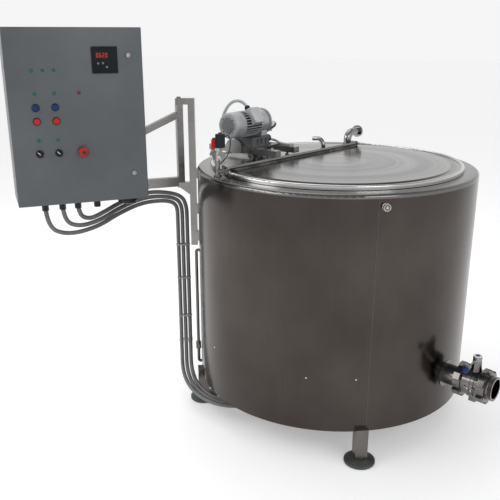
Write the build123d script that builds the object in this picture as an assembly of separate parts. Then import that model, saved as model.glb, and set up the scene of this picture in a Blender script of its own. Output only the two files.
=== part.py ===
from build123d import *
import math
import os

# Vat pasteurizer: a jacketed round milk vat on four legs, with a half-opening lid, a geared
# agitator drive on a bridge, a bottom outlet with a butterfly valve, and a control cabinet
# that swings on a post beside the vat.
# Millimetres. The origin is on the floor under the middle of the vat, +Z is up, the outlet
# points along -Y, and the lid hinges on a rod that runs along X.

# Running clearances
air = 0.3
pin_play = 0.08

# Vat shell, shoulder and insulation
shell_radius = 600.0
shell_sheet = 2.0
wall_depth = 80.0
vessel_radius = shell_radius - wall_depth
shell_bottom = 143.0
shoulder_height = 1102.0
shoulder_bend = 12.0
shoulder_skirt = 16.0
shoulder_rise = 2.0
seat_rise = 1.6
shoulder_seat = shoulder_height + seat_rise
jacket_gap = 32.0
jacket_radius = vessel_radius + jacket_gap
jacket_sheet = 3.0
jacket_bottom = 226.0
jacket_drop = 50.0
jacket_top = shoulder_height - jacket_drop

# Lid: rolled rim, raised middle, and the seam where it meets the fixed rear cover
lid_overlap = 20.0
lid_radius = vessel_radius + lid_overlap
lid_sheet = 2.0
lid_rise = 14.0
lid_height = shoulder_height + lid_rise
lid_skirt = 11.0
lid_bead = 7.0
lid_rim_width = 50.0
lid_step_radius = lid_radius - lid_rim_width
lid_step = 4.0
lid_top = lid_height + lid_step
gasket_width = 10.0
gasket_height = 3.0
hinge_y = 175.0
hinge_rise = 15.0
hinge_z = lid_height + hinge_rise
rod_radius = 7.0
rod_left_inset = 31.0
rod_right_inset = 108.0
rod_left = rod_left_inset - lid_radius
rod_right = lid_radius - rod_right_inset
seam_gap = 4.0
hinge_flange = 1.5
block_thickness = 12.0
block_width = 26.0
eye_wall = 3.0

# Inner vessel: straight wall and a floor that falls towards the outlet
vessel_wall = 2.0
vessel_floor_sheet = 3.0
floor_height = 292.0
floor_fall = 3.2
rim_bead = 3.0
vessel_rim_height = lid_height - lid_sheet - air - gasket_height - rim_bead

# Legs and adjustable feet
leg_turn = 3.7
leg_count = 4
leg_width = 50.0
leg_wall = 3.0
leg_inset = 6.0
leg_centre_radius = shell_radius - leg_inset
leg_bottom = 32.0
leg_tab_height = 14.0
frame_arm_width = 60.0
frame_arm_reach = leg_centre_radius
foot_radius = 63.0
foot_edge = 12.0
foot_stem_radius = 10.0

# Heating rods screwed into the jacket floor
heater_thread = 21.0
heater_head_radius = 30.0
heater_head_height = 12.0
heater_cap_height = 32.0
heater_ring = 210.0
heater_count = 3
heater_tube_radius = 6.0
heater_pitch = 13.0
heater_rise = 22.0
heater_run = 150.0

# Bridge across the rear cover and the agitator drive on it, about the agitator's axis
drive_x = -115.0
drive_inset = 235.0
drive_y = shell_radius - drive_inset
bridge_turn = 5.0
beam_width = 40.0
beam_height = 25.0
beam_wall = 2.0
beam_spacing = 144.0
beam_lift = 17.0
beam_bottom = lid_top + beam_lift
beam_front_gap = 12.0
beam_front = hinge_y + beam_front_gap - drive_y
beam_back = 196.0
beam_post = 26.0
side_plate_from = 4.0
side_plate_to = 92.0
side_plate_height = 58.0
side_plate_top = beam_bottom + side_plate_height
stud_radius = 5.0
stud_places = [(-80.0, -42.0), (-80.0, -122.0), (80.0, -42.0), (80.0, -122.0)]
base_plate = 6.0
base_plate_half = 80.0
gearbox_left = -88.0
gearbox_right = 34.0
gearbox_width = 112.0
gearbox_height = 40.0
gearbox_bottom = beam_bottom + beam_height + base_plate
gearbox_top = gearbox_bottom + gearbox_height
case_right = 48.0
case_radius = 54.0
motor_lift = 59.0
motor_height = gearbox_top + motor_lift
wheel_turn = -24.0
wheel_reach = 106.0
wheel_drop = 37.0
plug_drop = 79.0
motor_radius = 50.0
motor_length = 128.0
motor_end = -12.0
motor_shield = 8.0
cowl_radius = 56.0
cowl_length = 56.0
cowl_overlap = 7.0
cowl_sheet = 1.6
cowl_bend = 12.0
grille_radius = 40.0
grille_pitch = 9.0
grille_hole = 6.2
fin_count = 28
fin_height = 6.0
fin_thickness = 2.6
fan_radius = 46.0
fan_blades = 7
fan_shaft_radius = 7.0
terminal_tilt = 56.0
terminal_reach = 78.0
terminal_length = 66.0
terminal_width = 74.0
terminal_place = -71.0
terminal_entry = (-18.0, 58.0)
terminal_gland_radius = 10.0
shaft_radius = 12.0
shaft_bottom = 372.0
shaft_depth = 8.0
shaft_top = gearbox_top - shaft_depth
seal_radius = 34.0
seal_height = 12.0
blade_radius = 118.0
blade_height = 76.0
blade_thickness = 4.0
blade_count = 3
blade_pitch = 45.0
hub_radius = 20.0

# Pipes on the rear cover
pipe_wall = 1.5
inlet_pipe_radius = 19.0
inlet_from_rod_end = 11.0
inlet_x = rod_right - inlet_from_rod_end
inlet_y = 226.0
inlet_rise = 57.0
inlet_level = lid_top + inlet_rise
inlet_reach = 90.0
inlet_end_x = inlet_x + inlet_reach
inlet_bend = 32.0
ferrule_radius = 29.0
ferrule_thickness = 6.0
vent_pipe_radius = 10.0
vent_x = 212.0
vent_y = 222.0
vent_rise = 52.0
vent_level = lid_top + vent_rise
vent_reach = 60.0
vent_drop = 6.0
vent_bend = 30.0
collar_height = 3.0
inlet_collar = 5.0
vent_collar = 7.0

# Water filling valve on the shoulder
filling_inset = 69.0
filling_x = filling_inset - shell_radius
filling_y = 196.0
filling_pipe_radius = 10.0
filling_tee_rise = 24.0
filling_tee_height = shoulder_height + filling_tee_rise
filling_tee_length = 50.0
filling_body_rise = 66.0
filling_body_height = 38.0
filling_body_bottom = shoulder_height + filling_body_rise
filling_body_top = filling_body_bottom + filling_body_height
filling_body_length = 58.0
filling_body_width = 30.0
coil_collar_radius = 12.0
coil_collar_height = 10.0
coil_height = 55.0
coil_bottom = filling_body_top + coil_collar_height
coil_top = coil_bottom + coil_height
coil_width = 30.0
coil_offset = 8.0

# Small fittings on the shell
vent_nozzle_angle = -127.2
vent_nozzle_drop = 45.0
vent_nozzle_height = shoulder_height - vent_nozzle_drop
level_pipe_angle = 132.0
level_pipe_radius = 7.0
level_pipe_stand = 16.0
level_pipe_top = 712.0
level_pipe_bottom = 158.0
tap_rise = 82.0

# Bottom outlet with butterfly valve, measured outward from the middle of the vat
outlet_height = 300.0
outlet_bore = 40.5
outlet_tube_radius = 42.5
stub_reach = 80.0
stub_end = shell_radius + stub_reach
liner_radius = 49.0
liner_length = 8.0
thread_radius = 54.0
nut_body_radius = 62.0
nut_lug_radius = 72.0
nut_lug_width = 26.0
nut_lugs = 6
nut_length = 30.0
nut_lip = 5.0
inner_nut_overlap = 23.0
outer_nut_overlap = 10.0
valve_body_radius = 56.0
valve_flange_radius = 60.0
valve_half = 41.0
valve_inset = 6.0
valve_centre = stub_end + valve_half + valve_inset
valve_end = valve_centre + valve_half
inner_nut_start = stub_end - inner_nut_overlap
outer_nut_start = valve_end - outer_nut_overlap
outlet_end_radius = 50.0
outlet_end_length = 45.0
outlet_tip = valve_end + outlet_end_length
disc_radius = 40.0
disc_thickness = 6.0
stem_radius = 6.0
stem_housing_top = 99.0
stem_housing_radius = 21.0
handle_cap_radius = 18.0
handle_cap_top = 120.0
handle_reach = 110.0
handle_rod_radius = 3.2
handle_knob_radius = 15.0
valve_foot_reach = 80.0

# Post and swinging jib that carry the cabinet
post_angle = 129.8
post_stand = 24.4
pivot_stand = 53.1
post_radius = shell_radius + post_stand
pivot_radius = post_radius + pivot_stand
post_width = 28.0
post_wall = 2.0
post_bottom = 732.0
post_top = 1383.0
post_brackets = [775.0, 900.0, 1060.0]
bracket_height = 40.0
upper_arm_bottom = 1357.0
lower_arm_bottom = 997.0
lower_arm_top = 1020.0
pivot_pin_radius = 6.0
pivot_pin_length = 30.0
jib_bottom = lower_arm_top + air
jib_top = upper_arm_bottom - air
panel_yaw = -26.7
jib_cap = 5.0
arm_height = 40.0
arm_bottom = 1003.0
arm_reach = 560.0
brace_start = 1318.0
brace_slope = 23.5
brace_height = 27.0
upright_reach = 352.0
upright_top = 1500.0

# Control cabinet, measured from its lower left front corner
cabinet_width = 500.0
cabinet_height = 650.0
cabinet_depth = 220.0
cabinet_bottom = 1016.7
cabinet_offset = 702.0
cabinet_sheet = 1.5
door_depth = 20.0
door_gap = 8.0
box_front = door_depth + door_gap
door_axis_inset = 5.0
door_bend = 3.0
gutter_inset = 12.0
gutter_front = 12.0
frame_inset = 34.0
hinge_pin_radius = 2.0
hinge_knuckle_radius = 4.8
hinge_length = 40.0
hinge_heights = [60.0, 510.0]
mounting_plate = 195.0

# Fittings in the door, each at (from the left edge, above the lower edge)
left_column = 95.0
right_column = 165.0
far_column = 255.0
lamp_row_top = 500.0
lamp_row_run = 418.0
lamp_row_switch = 248.0
start_row = 368.0
stop_row = 318.0
selector_row = 199.0
lamp_places = [(91.0, lamp_row_top), (130.0, lamp_row_top), (170.0, lamp_row_top),
               (left_column, lamp_row_run), (right_column, lamp_row_run), (far_column, lamp_row_run),
               (left_column, lamp_row_switch), (right_column, lamp_row_switch)]
switch_places = [(left_column, start_row), (right_column, start_row), (left_column, stop_row),
                 (right_column, stop_row), (left_column, selector_row),
                 (right_column, selector_row), (far_column, selector_row)]
controller_place = (357.0, 534.0)
controller_size = 96.0
controller_cutout = 92.0
controller_depth = 78.0
controller_bezel = 6.0
key_places = [(-25.0, -12.0), (-7.0, -11.0), (7.0, -25.0)]
lock_x = 446.0
lock_heights = [550.0, 104.0]
lock_radius = 10.0
lock_stem_radius = 6.0
cam_level = 30.0
cam_reach = 38.0
cam_width = 16.0
bezel_radius = 14.5
bezel_height = 4.0
neck_radius = 13.0
cap_radius = 11.5
cap_height = 9.0
cap_depth = 4.0
button_travel = 4.0
switch_depth = 46.0
selector_height = 20.0
selector_half = 13.5
selector_turn = 45.0
mushroom_radius = 19.0
mushroom_bottom = 12.0
mushroom_height = 13.0
mushroom_travel = 5.0
lamp_radius = 5.0
lamp_bezel_radius = 6.5
lamp_height = 4.0
lamp_depth = 24.0
gland_places = [101.0, 167.0, 227.0, 303.0]
gland_depth = 64.0
gland_radius = 13.0
gland_height = 34.0
buzzer_place = (428.0, 74.0)
buzzer_radius = 42.0
buzzer_height = 30.0

# Conduits
conduit_radius = 9.0
motor_conduit_radius = 7.0
conduit_split = 872.0
split_run = 33.0
conduit_spacing = 21.0
lanes = (-conduit_spacing, 0.0, conduit_spacing)
junction_place = (-375.0, 58.0)
junction_heading = -22.2
junction_bottom = 68.0
junction_entry = 86.0


def turned(points):
    """A solid of revolution about Z from (radius, height) points."""
    return revolve(Plane.XZ * make_face(Polyline(*points, close=True)), Axis.Z)


def ring(outer, inner, low, high):
    """A plain ring or tube between two heights."""
    return turned([(inner, low), (outer, low), (outer, high), (inner, high)])


def block(x, y, z):
    """A box given by its low and high values on each axis."""
    return Pos((x[0] + x[1]) / 2, (y[0] + y[1]) / 2, (z[0] + z[1]) / 2) * Box(
        x[1] - x[0], y[1] - y[0], z[1] - z[0])


def rod(start, end, radius):
    """A round bar between two points."""
    line = Vector(*end) - Vector(*start)
    return Plane(origin=start, z_dir=line) * Cylinder(
        radius, line.length, align=(Align.CENTER, Align.CENTER, Align.MIN))


def welded(outsides, insides):
    """Hollow sections welded into one frame: all outsides joined, all insides taken out."""
    frame = outsides[0]
    for piece in outsides[1:]:
        frame = frame + piece
    for hollow in insides:
        frame = frame - hollow
    return frame


def bent_tube(points, radii, radius, bore=0.0):
    """A tube along straight runs joined by arcs."""
    path = FilletPolyline(*points, radius=radii)
    start = path @ 0
    section = Plane(origin=start, z_dir=path % 0) * Circle(radius)
    if bore > 0.0:
        section = section - Plane(origin=start, z_dir=path % 0) * Circle(bore)
    return sweep(section, path=path)


def cord(name, points, radius):
    """A cord's tube: each arc is as large as its two runs allow. Prints radii and volume."""
    radii = []
    for before, at, after in zip(points, points[1:], points[2:]):
        run_in = Vector(*at) - Vector(*before)
        run_out = Vector(*after) - Vector(*at)
        half_turn = math.radians(run_in.get_angle(run_out)) / 2
        radii.append(0.45 * min(run_in.length, run_out.length) / math.tan(half_turn))
    path = FilletPolyline(*points, radius=radii)
    solid = sweep(Plane(origin=path @ 0, z_dir=path % 0) * Circle(radius), path=path)
    expected = math.pi * radius ** 2 * path.length
    print(name, "length", round(path.length), "tightest", round(min(radii)),
          "volume ratio", round(solid.volume / expected, 4))
    return solid


def frame_box(x, y, z, inset):
    """A rectangular frame in the XZ plane, open in the middle."""
    return block(x, y, z) - block((x[0] + inset, x[1] - inset), (y[0] - 1, y[1] + 1),
                                  (z[0] + inset, z[1] - inset))


def turned_circle(centre_radius, height, radius):
    """A rolled bead: a round section turned about Z."""
    return revolve(Plane.XZ * Pos(centre_radius, height) * Circle(radius), Axis.Z)


def turned_ball(radius):
    half = Circle(radius) & Pos(radius, 0) * Rectangle(2 * radius, 2 * radius)
    return revolve(Plane.XZ * half, Axis.Z)


# Frames that the pieces are placed in
drive = Location((drive_x, drive_y, 0), (0, 0, bridge_turn))
motor = drive * Location((0, 0, motor_height))
cowl = motor * Location((motor_end - motor_length, 0, 0), (0, -90, 0))
terminal = motor * Location((terminal_place, 0, 0), (terminal_tilt, 0, 0))
outlet = Location((0, 0, outlet_height), (90, 0, 0))
post_frame = Location((0, 0, 0), (0, 0, post_angle))
pivot_x = pivot_radius * math.cos(math.radians(post_angle))
pivot_y = pivot_radius * math.sin(math.radians(post_angle))
panel = Location((pivot_x, pivot_y, 0), (0, 0, panel_yaw))
cabinet_back = -post_width / 2
cabinet_front = cabinet_back - cabinet_depth
cabinet = panel * Location((-cabinet_offset, cabinet_front, cabinet_bottom))
front_face = cabinet * Location((0, 0, 0), (90, 0, 0))


def leg_places():
    for index in range(leg_count):
        yield Location((0, 0, 0), (0, 0, leg_turn + 45.0 + index * 360.0 / leg_count))


def heater_places():
    for index in range(heater_count):
        yield Location((0, 0, 0), (0, 0, leg_turn + 90.0 * index)) * Location((heater_ring, 0, 0))


def outlet_port(radius, middle, length):
    """A round opening for the outlet through a wall at this distance from the middle."""
    return outlet * Pos(0, 0, middle) * Cylinder(radius, length)


# Vat body

def outer_shell():
    skin = ring(shell_radius, shell_radius - shell_sheet, shell_bottom,
                shoulder_height - shoulder_skirt)
    return skin - outlet_port(outlet_tube_radius + air, shell_radius, 60)


def shoulder_ring():
    low = shoulder_height - shoulder_skirt
    top = shoulder_height
    inner_top = top + shoulder_rise
    sheet = shell_sheet
    profile = make_face(Polyline(
        (shell_radius, low), (shell_radius, top), (vessel_radius, inner_top),
        (vessel_radius, inner_top - sheet), (shell_radius - sheet, top - sheet),
        (shell_radius - sheet, low), close=True))
    corner = profile.vertices().sort_by_distance((shell_radius, top, 0))[0]
    profile = fillet(corner, shoulder_bend)
    inside = profile.vertices().sort_by_distance((shell_radius - sheet, top - sheet, 0))[0]
    profile = fillet(inside, shoulder_bend - sheet)
    return revolve(Plane.XZ * profile, Axis.Z)


def below_floor(lift):
    """The space under the sloping vessel floor, lifted by a sheet where needed."""
    size = 3 * vessel_radius
    return Location((0, 0, floor_height + lift), (floor_fall, 0, 0)) * Pos(0, 0, -size / 2) * Box(
        size, size, size)


def inner_vessel():
    height = vessel_rim_height - shell_bottom
    outside = Pos(0, 0, shell_bottom + height / 2) * Cylinder(vessel_radius, height) - below_floor(0)
    inside = Pos(0, 0, shell_bottom + height / 2) * Cylinder(
        vessel_radius - vessel_wall, height + 2) - below_floor(vessel_floor_sheet)
    bead = turned_circle(vessel_radius - vessel_wall / 2, vessel_rim_height, rim_bead)
    port = outlet_port(outlet_tube_radius, vessel_radius, 40)
    return outside + bead - inside - port


def jacket_wall():
    low = jacket_bottom
    sheet = jacket_sheet
    wall = ring(jacket_radius, jacket_radius - sheet, low, jacket_top)
    floor = Pos(0, 0, low + sheet / 2) * Cylinder(jacket_radius, sheet)
    lid = ring(jacket_radius, vessel_radius, jacket_top - sheet, jacket_top)
    tank = wall + floor + lid
    for place in heater_places():
        tank = tank - place * Pos(0, 0, low) * Cylinder(heater_thread, 20)
    return tank - outlet_port(outlet_tube_radius, jacket_radius, 40)


def insulation():
    wool = ring(shell_radius - shell_sheet - air, jacket_radius + air, jacket_bottom,
                shoulder_height - shoulder_skirt - air)
    return wool - outlet_port(outlet_tube_radius + 2, shell_radius, 160)


def base_frame():
    """Bottom plate and the crossed channels under the jacket that carry the weight to the legs."""
    sheet = shell_sheet
    plate = Pos(0, 0, shell_bottom + sheet / 2) * Cylinder(shell_radius - sheet - air, sheet)
    for place in heater_places():
        plate = plate - place * Pos(0, 0, shell_bottom) * Cylinder(heater_head_radius + 4, 30)
    low = shell_bottom + sheet
    half = frame_arm_width / 2
    reach = frame_arm_reach
    outsides = []
    insides = []
    for turn in (0.0, 90.0):
        arm = Location((0, 0, 0), (0, 0, leg_turn + 45.0 + turn))
        outsides.append(arm * block((-reach, reach), (-half, half), (low, jacket_bottom)))
        insides.append(arm * block((-reach - 1, reach + 1), (-half + leg_wall, half - leg_wall),
                                   (low + leg_wall, jacket_bottom - leg_wall)))
    box = block((0, 62), (-48, 48), (junction_bottom, shell_bottom))
    box = fillet(box.edges().filter_by(Axis.Z), 5)
    for lane in lanes:
        box = box + rod((-10, lane, junction_entry), (1, lane, junction_entry), conduit_radius + 4)
    for lane in lanes:
        box = box - rod((-11, lane, junction_entry), (4, lane, junction_entry), conduit_radius + 0.6)
    junction = Location((*junction_place, 0), (0, 0, junction_heading)) * box
    return [plate, welded(outsides, insides), junction]


def legs():
    """Square tubes with a tab that laps over the shell's lower edge."""
    pieces = []
    half = leg_width / 2
    for place in leg_places():
        tube = block((leg_centre_radius - half, leg_centre_radius + half), (-half, half),
                     (leg_bottom, shell_bottom))
        hollow = block((leg_centre_radius - half + leg_wall, leg_centre_radius + half - leg_wall),
                       (-half + leg_wall, half - leg_wall),
                       (leg_bottom + leg_wall, shell_bottom + 1))
        stem_hole = Pos(leg_centre_radius, 0, leg_bottom) * Cylinder(foot_stem_radius + pin_play, 20)
        tab = block((shell_radius - 5, leg_centre_radius + half), (-half, half),
                    (shell_bottom, shell_bottom + leg_tab_height))
        tab = tab - Pos(0, 0, shell_bottom) * Cylinder(shell_radius, 100)
        pieces.append(place * (tube - hollow - stem_hole + tab))
    return pieces


def foot_pads():
    waist = foot_stem_radius + 6
    disc = turned([(0, 0), (foot_radius - 3, 0), (foot_radius, 3), (foot_radius, foot_edge),
                   (foot_radius - 5, foot_edge + 3), (waist + 4, leg_bottom - 8),
                   (waist, leg_bottom), (foot_stem_radius, leg_bottom),
                   (foot_stem_radius, leg_bottom + 36), (0, leg_bottom + 36)])
    return [place * Pos(leg_centre_radius, 0, 0) * disc for place in leg_places()]


def heaters():
    """Screwed-in heating rods: a hexagon head, a terminal cap below and a hairpin in the water."""
    head_low = jacket_bottom - heater_head_height
    head = Pos(0, 0, head_low) * extrude(RegularPolygon(heater_head_radius, 6), heater_head_height)
    cap = Pos(0, 0, head_low - heater_cap_height / 2) * Cylinder(heater_head_radius - 6,
                                                                heater_cap_height)
    plug = Pos(0, 0, jacket_bottom + jacket_sheet / 2) * Cylinder(heater_thread - pin_play,
                                                                 jacket_sheet)
    rise = jacket_bottom + jacket_sheet
    level = rise + heater_rise
    hairpin = bent_tube([(0, -heater_pitch, rise), (0, -heater_pitch, level),
                         (-heater_run, -heater_pitch, level), (-heater_run, heater_pitch, level),
                         (0, heater_pitch, level), (0, heater_pitch, rise)],
                        [12.0, 12.0, 12.0, 12.0], heater_tube_radius)
    body = head + cap + plug + hairpin
    return [place * body for place in heater_places()]


# Lid, rear cover and hinge

def lid_plate():
    """The whole round lid before it is cut at the hinge seam."""
    top = lid_height
    sheet = lid_sheet
    step = lid_step_radius
    outline = [(0, lid_top - sheet), (step - lid_step, lid_top - sheet), (step, top - sheet),
               (lid_radius - sheet, top - sheet), (lid_radius - sheet, top - lid_skirt),
               (lid_radius, top - lid_skirt), (lid_radius, top), (step + 1, top),
               (step - lid_step + 1, lid_top), (0, lid_top)]
    bead = turned_circle(lid_radius - lid_bead, top, lid_bead)
    under = ring(lid_radius, lid_radius - 2 * lid_bead - 1, top - lid_bead - 2, top - sheet)
    return turned(outline) + (bead - under)


def hinge_block_places():
    return (rod_left + block_thickness, rod_right - block_thickness)


def front_lid():
    """The lid's front part with the upturned flange that holds the hinge rod."""
    size = 3 * lid_radius
    cut = hinge_y - seam_gap / 2
    plate = lid_plate() & block((-size, size), (-size, cut), (lid_height - 60, lid_height + 60))
    left = rod_left + block_thickness * 1.5 + 8
    right = rod_right - block_width
    under_rod = hinge_z - rod_radius - hinge_flange
    flange_top = hinge_z + rod_radius * 0.7
    flange = block((left, right), (cut - hinge_flange, cut), (lid_height, flange_top))
    web = block((left, right), (cut - hinge_flange, hinge_y), (under_rod, flange_top))
    relief = rod_radius + eye_wall + 0.7
    lid = plate + flange + web - rod((rod_left, hinge_y, hinge_z), (rod_right, hinge_y, hinge_z),
                                     rod_radius)
    for x in hinge_block_places():
        lid = lid - rod((x - block_thickness / 2 - 1, hinge_y, hinge_z),
                        (x + block_thickness / 2 + 1, hinge_y, hinge_z), relief)
    return lid


def hinge_rod():
    return rod((rod_left, hinge_y, hinge_z), (rod_right, hinge_y, hinge_z), rod_radius)


def rear_cover():
    """The fixed rear part with the plates that carry the rod's ends and the shaft seal cup."""
    size = 3 * lid_radius
    cut = hinge_y + seam_gap / 2
    cover = lid_plate() & block((-size, size), (cut, size), (lid_height - 60, lid_height + 60))
    seal = drive * Pos(0, 0, lid_top + seal_height / 2) * Cylinder(seal_radius, seal_height)
    cover = cover + seal - drive * Pos(0, 0, lid_top) * Cylinder(shaft_radius + pin_play, 60)
    cover = cover - Pos(inlet_x, inlet_y, lid_top) * Cylinder(inlet_pipe_radius, 20)
    cover = cover - Pos(vent_x, vent_y, lid_top) * Cylinder(vent_pipe_radius, 20)
    half = block_thickness / 2
    for x in hinge_block_places():
        plate = block((x - half, x + half), (cut, hinge_y + block_width),
                      (lid_height + 1, hinge_z + rod_radius + eye_wall))
        eye = rod((x - half, hinge_y, hinge_z), (x + half, hinge_y, hinge_z),
                  rod_radius + eye_wall)
        bore = rod((x - half - 1, hinge_y, hinge_z), (x + half + 1, hinge_y, hinge_z),
                   rod_radius + pin_play)
        cover = cover + plate + eye - bore
    return cover


def lid_gasket():
    centre = vessel_radius - vessel_wall / 2
    low = vessel_rim_height + rim_bead
    return ring(centre + gasket_width / 2, centre - gasket_width / 2, low, low + gasket_height)


# Bridge and agitator drive

def bridge_beams():
    """Two closed beams on posts and studs, tied by the plate that the gearbox stands on."""
    half = beam_width / 2
    wall = beam_wall
    top = beam_bottom + beam_height
    outsides = []
    insides = []
    for x in (-beam_spacing / 2, beam_spacing / 2):
        outsides.append(block((x - half, x + half), (beam_front, beam_back), (beam_bottom, top)))
        insides.append(block((x - half + wall, x + half - wall), (beam_front + wall, beam_back + 1),
                             (beam_bottom + wall, top - wall)))
        outsides.append(block((x - beam_post / 2, x + beam_post / 2),
                              (beam_back - beam_post, beam_back - wall),
                              (shoulder_seat, beam_bottom)))
    reach = beam_spacing / 2 + half
    outsides.append(block((-reach, reach), (-base_plate_half, base_plate_half),
                          (top, top + base_plate)))
    left = -reach
    plate = block((left - 5, left), (side_plate_from, side_plate_to), (beam_bottom, side_plate_top))
    corners = plate.edges().filter_by(Axis.X).group_by(Axis.Z)[-1]
    outsides.append(fillet(corners, 30))
    outsides.append(rod((left, -35, beam_bottom + 13), (left - 6, -35, beam_bottom + 13), 8))
    for x, y in stud_places:
        outsides.append(rod((x, y, lid_top), (x, y, beam_bottom), stud_radius))
        outsides.append(Pos(x, y, lid_top) * extrude(RegularPolygon(9.5, 6), 6))
    frame = drive * welded(outsides, insides)
    hole = drive * rod((0, 0, beam_bottom), (0, 0, top + 20), seal_radius - 2)
    return frame - hole


def gearbox():
    low = gearbox_bottom
    half = gearbox_width / 2
    box = block((gearbox_left, gearbox_right), (-half, half), (low, gearbox_top))
    box = fillet(box.edges().filter_by(Axis.Z), 9)
    box = fillet(box.edges().group_by(Axis.Z)[-1], 5)
    for x in (gearbox_left + 30, gearbox_left + 60, gearbox_left + 90):
        box = box - block((x - 5, x + 5), (-half - 1, -half + 4), (low + 8, gearbox_top - 10))
    boss = rod((0, 0, low - 16), (0, 0, low), seal_radius - 6)
    bore = rod((0, 0, low - 20), (0, 0, shaft_top + 1), shaft_radius + pin_play)
    return drive * (box + boss - bore)


def gear_case():
    """The light case at the motor's drive end, its control wheel and a side plug."""
    barrel = rod((motor_end + air, 0, motor_height), (case_right - 8, 0, motor_height), case_radius)
    rim = rod((case_right - 8, 0, motor_height), (case_right, 0, motor_height), case_radius + 5)
    neck = block((motor_end + 6, gearbox_right + 2), (-40, 40), (gearbox_top, motor_height))
    boss = rod((case_right, 0, motor_height), (case_right + 8, 0, motor_height), 24)
    axle_level = motor_height - wheel_drop
    arm = block((case_right - 4, wheel_reach + 10), (-11, 11), (axle_level - 14, axle_level - 1))
    case = fillet(barrel.edges().group_by(Axis.X)[-1], 4) + rim + neck + boss + arm
    wheel = turned([(0, 0), (31, 0), (35, 4), (35, 9), (31, 13), (22, 14), (9, 34), (9, 38),
                    (10, 48), (6, 53), (0, 54)])
    axle = Location((wheel_reach, 0, axle_level), (0, wheel_turn, 0))
    wheel = axle * Pos(0, 0, 5) * wheel
    stem = axle * Pos(0, 0, 2) * Cylinder(7, 12)
    plug_level = motor_height - plug_drop
    neck = neck + block((gearbox_right + air, case_right - 4), (-30, 30), (plug_level - 10, axle_level))
    plug = rod((gearbox_right + 4, -4, plug_level + 10), (case_right + 30, -4, plug_level), 14)
    ring_nut = rod((case_right + 30, -4, plug_level), (case_right + 48, -4, plug_level - 4), 16.5)
    return drive * (case + stem + wheel + plug + ring_nut)


def motor_body():
    """Ribbed motor housing from one extruded section, with two plain end shields."""
    fin = Pos(motor_radius, 0) * Rectangle(2 * fin_height, fin_thickness)
    outline = Circle(motor_radius)
    for index in range(fin_count):
        outline = outline + Rot(0, 0, index * 360.0 / fin_count) * fin
    start = motor_end - motor_length
    ribs = Pos(start + motor_shield, 0, 0) * extrude(Plane.YZ * outline,
                                                     motor_length - 2 * motor_shield)
    shields = [rod((x, 0, 0), (x + motor_shield, 0, 0), motor_radius + 4)
               for x in (start, motor_end - motor_shield)]
    bore = rod((start - 1, 0, 0), (start + cowl_overlap + 8, 0, 0), fan_shaft_radius + pin_play)
    return motor * (ribs + shields[0] + shields[1] - bore)


def fan_cowl():
    """Round cowl with a rolled edge and a lattice of square holes in its face."""
    sheet = cowl_sheet
    outer = cowl_radius
    high = cowl_length
    profile = make_face(Polyline(
        (outer, -cowl_overlap), (outer, high), (0, high), (0, high - sheet),
        (outer - sheet, high - sheet), (outer - sheet, -cowl_overlap), close=True))
    corner = profile.vertices().sort_by_distance((outer, high, 0))[0]
    profile = fillet(corner, cowl_bend)
    inside = profile.vertices().sort_by_distance((outer - sheet, high - sheet, 0))[0]
    profile = fillet(inside, cowl_bend - sheet)
    cup = revolve(Plane.XZ * profile, Axis.Z)
    count = int(grille_radius / grille_pitch)
    holes = Sketch()
    for row in range(-count, count + 1):
        for column in range(-count, count + 1):
            x = row * grille_pitch
            y = column * grille_pitch
            if math.hypot(x, y) < grille_radius - grille_hole / 2:
                holes = holes + Pos(x, y) * Rectangle(grille_hole, grille_hole)
    cut = Rot(0, 0, 45) * Pos(0, 0, high - 4) * extrude(holes, 8)
    return cowl * (cup - cut)


def motor_fan():
    hub = Pos(0, 0, 24) * Cylinder(14, 28)
    wheel = hub
    for index in range(fan_blades):
        blade = block((10, fan_radius), (-1.5, 1.5), (12, 36))
        wheel = wheel + Rot(0, 0, index * 360.0 / fan_blades) * blade
    shaft = rod((0, 0, -cowl_overlap - 4), (0, 0, 12), fan_shaft_radius)
    return cowl * (wheel + shaft)


def terminal_box():
    """Tilted box on the motor with an overlapping lid and a cable gland on its upper side."""
    long = terminal_length / 2
    wide = terminal_width / 2
    inner = 42.0
    box = block((-long + 3, long - 3), (-wide + 3, wide - 3), (inner, terminal_reach - 6))
    lid = block((-long, long), (-wide, wide), (terminal_reach - 8, terminal_reach))
    lid = fillet(lid.edges().filter_by(Axis.Z), 8)
    lid = fillet(lid.edges().group_by(Axis.Z)[-1], 2.5)
    seat = rod((-60, 0, 0), (60, 0, 0), motor_radius + fin_height + pin_play)
    box = box + lid - seat
    along, level = terminal_entry
    gland = rod((along, wide - 4, level), (along, wide + 14, level), terminal_gland_radius)
    bore = rod((along, wide + 2, level), (along, wide + 15, level), motor_conduit_radius + air)
    return terminal * (box + gland - bore)


def agitator_shaft():
    return drive * rod((0, 0, shaft_bottom), (0, 0, shaft_top), shaft_radius)


def agitator_blades():
    """A hub with pitched paddles at the shaft's lower end."""
    middle = shaft_bottom + 34
    wheel = rod((0, 0, shaft_bottom), (0, 0, shaft_bottom + 68), hub_radius)
    for index in range(blade_count):
        paddle = block((hub_radius - 4, blade_radius), (-blade_thickness / 2, blade_thickness / 2),
                       (-blade_height / 2, blade_height / 2))
        turn = Location((0, 0, middle), (0, 0, index * 360.0 / blade_count))
        wheel = wheel + turn * Rot(blade_pitch, 0, 0) * paddle
    bore = rod((0, 0, shaft_bottom - 1), (0, 0, shaft_bottom + 70), shaft_radius)
    return drive * (wheel - bore)


# Pipes and valves on the cover and shoulder

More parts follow.
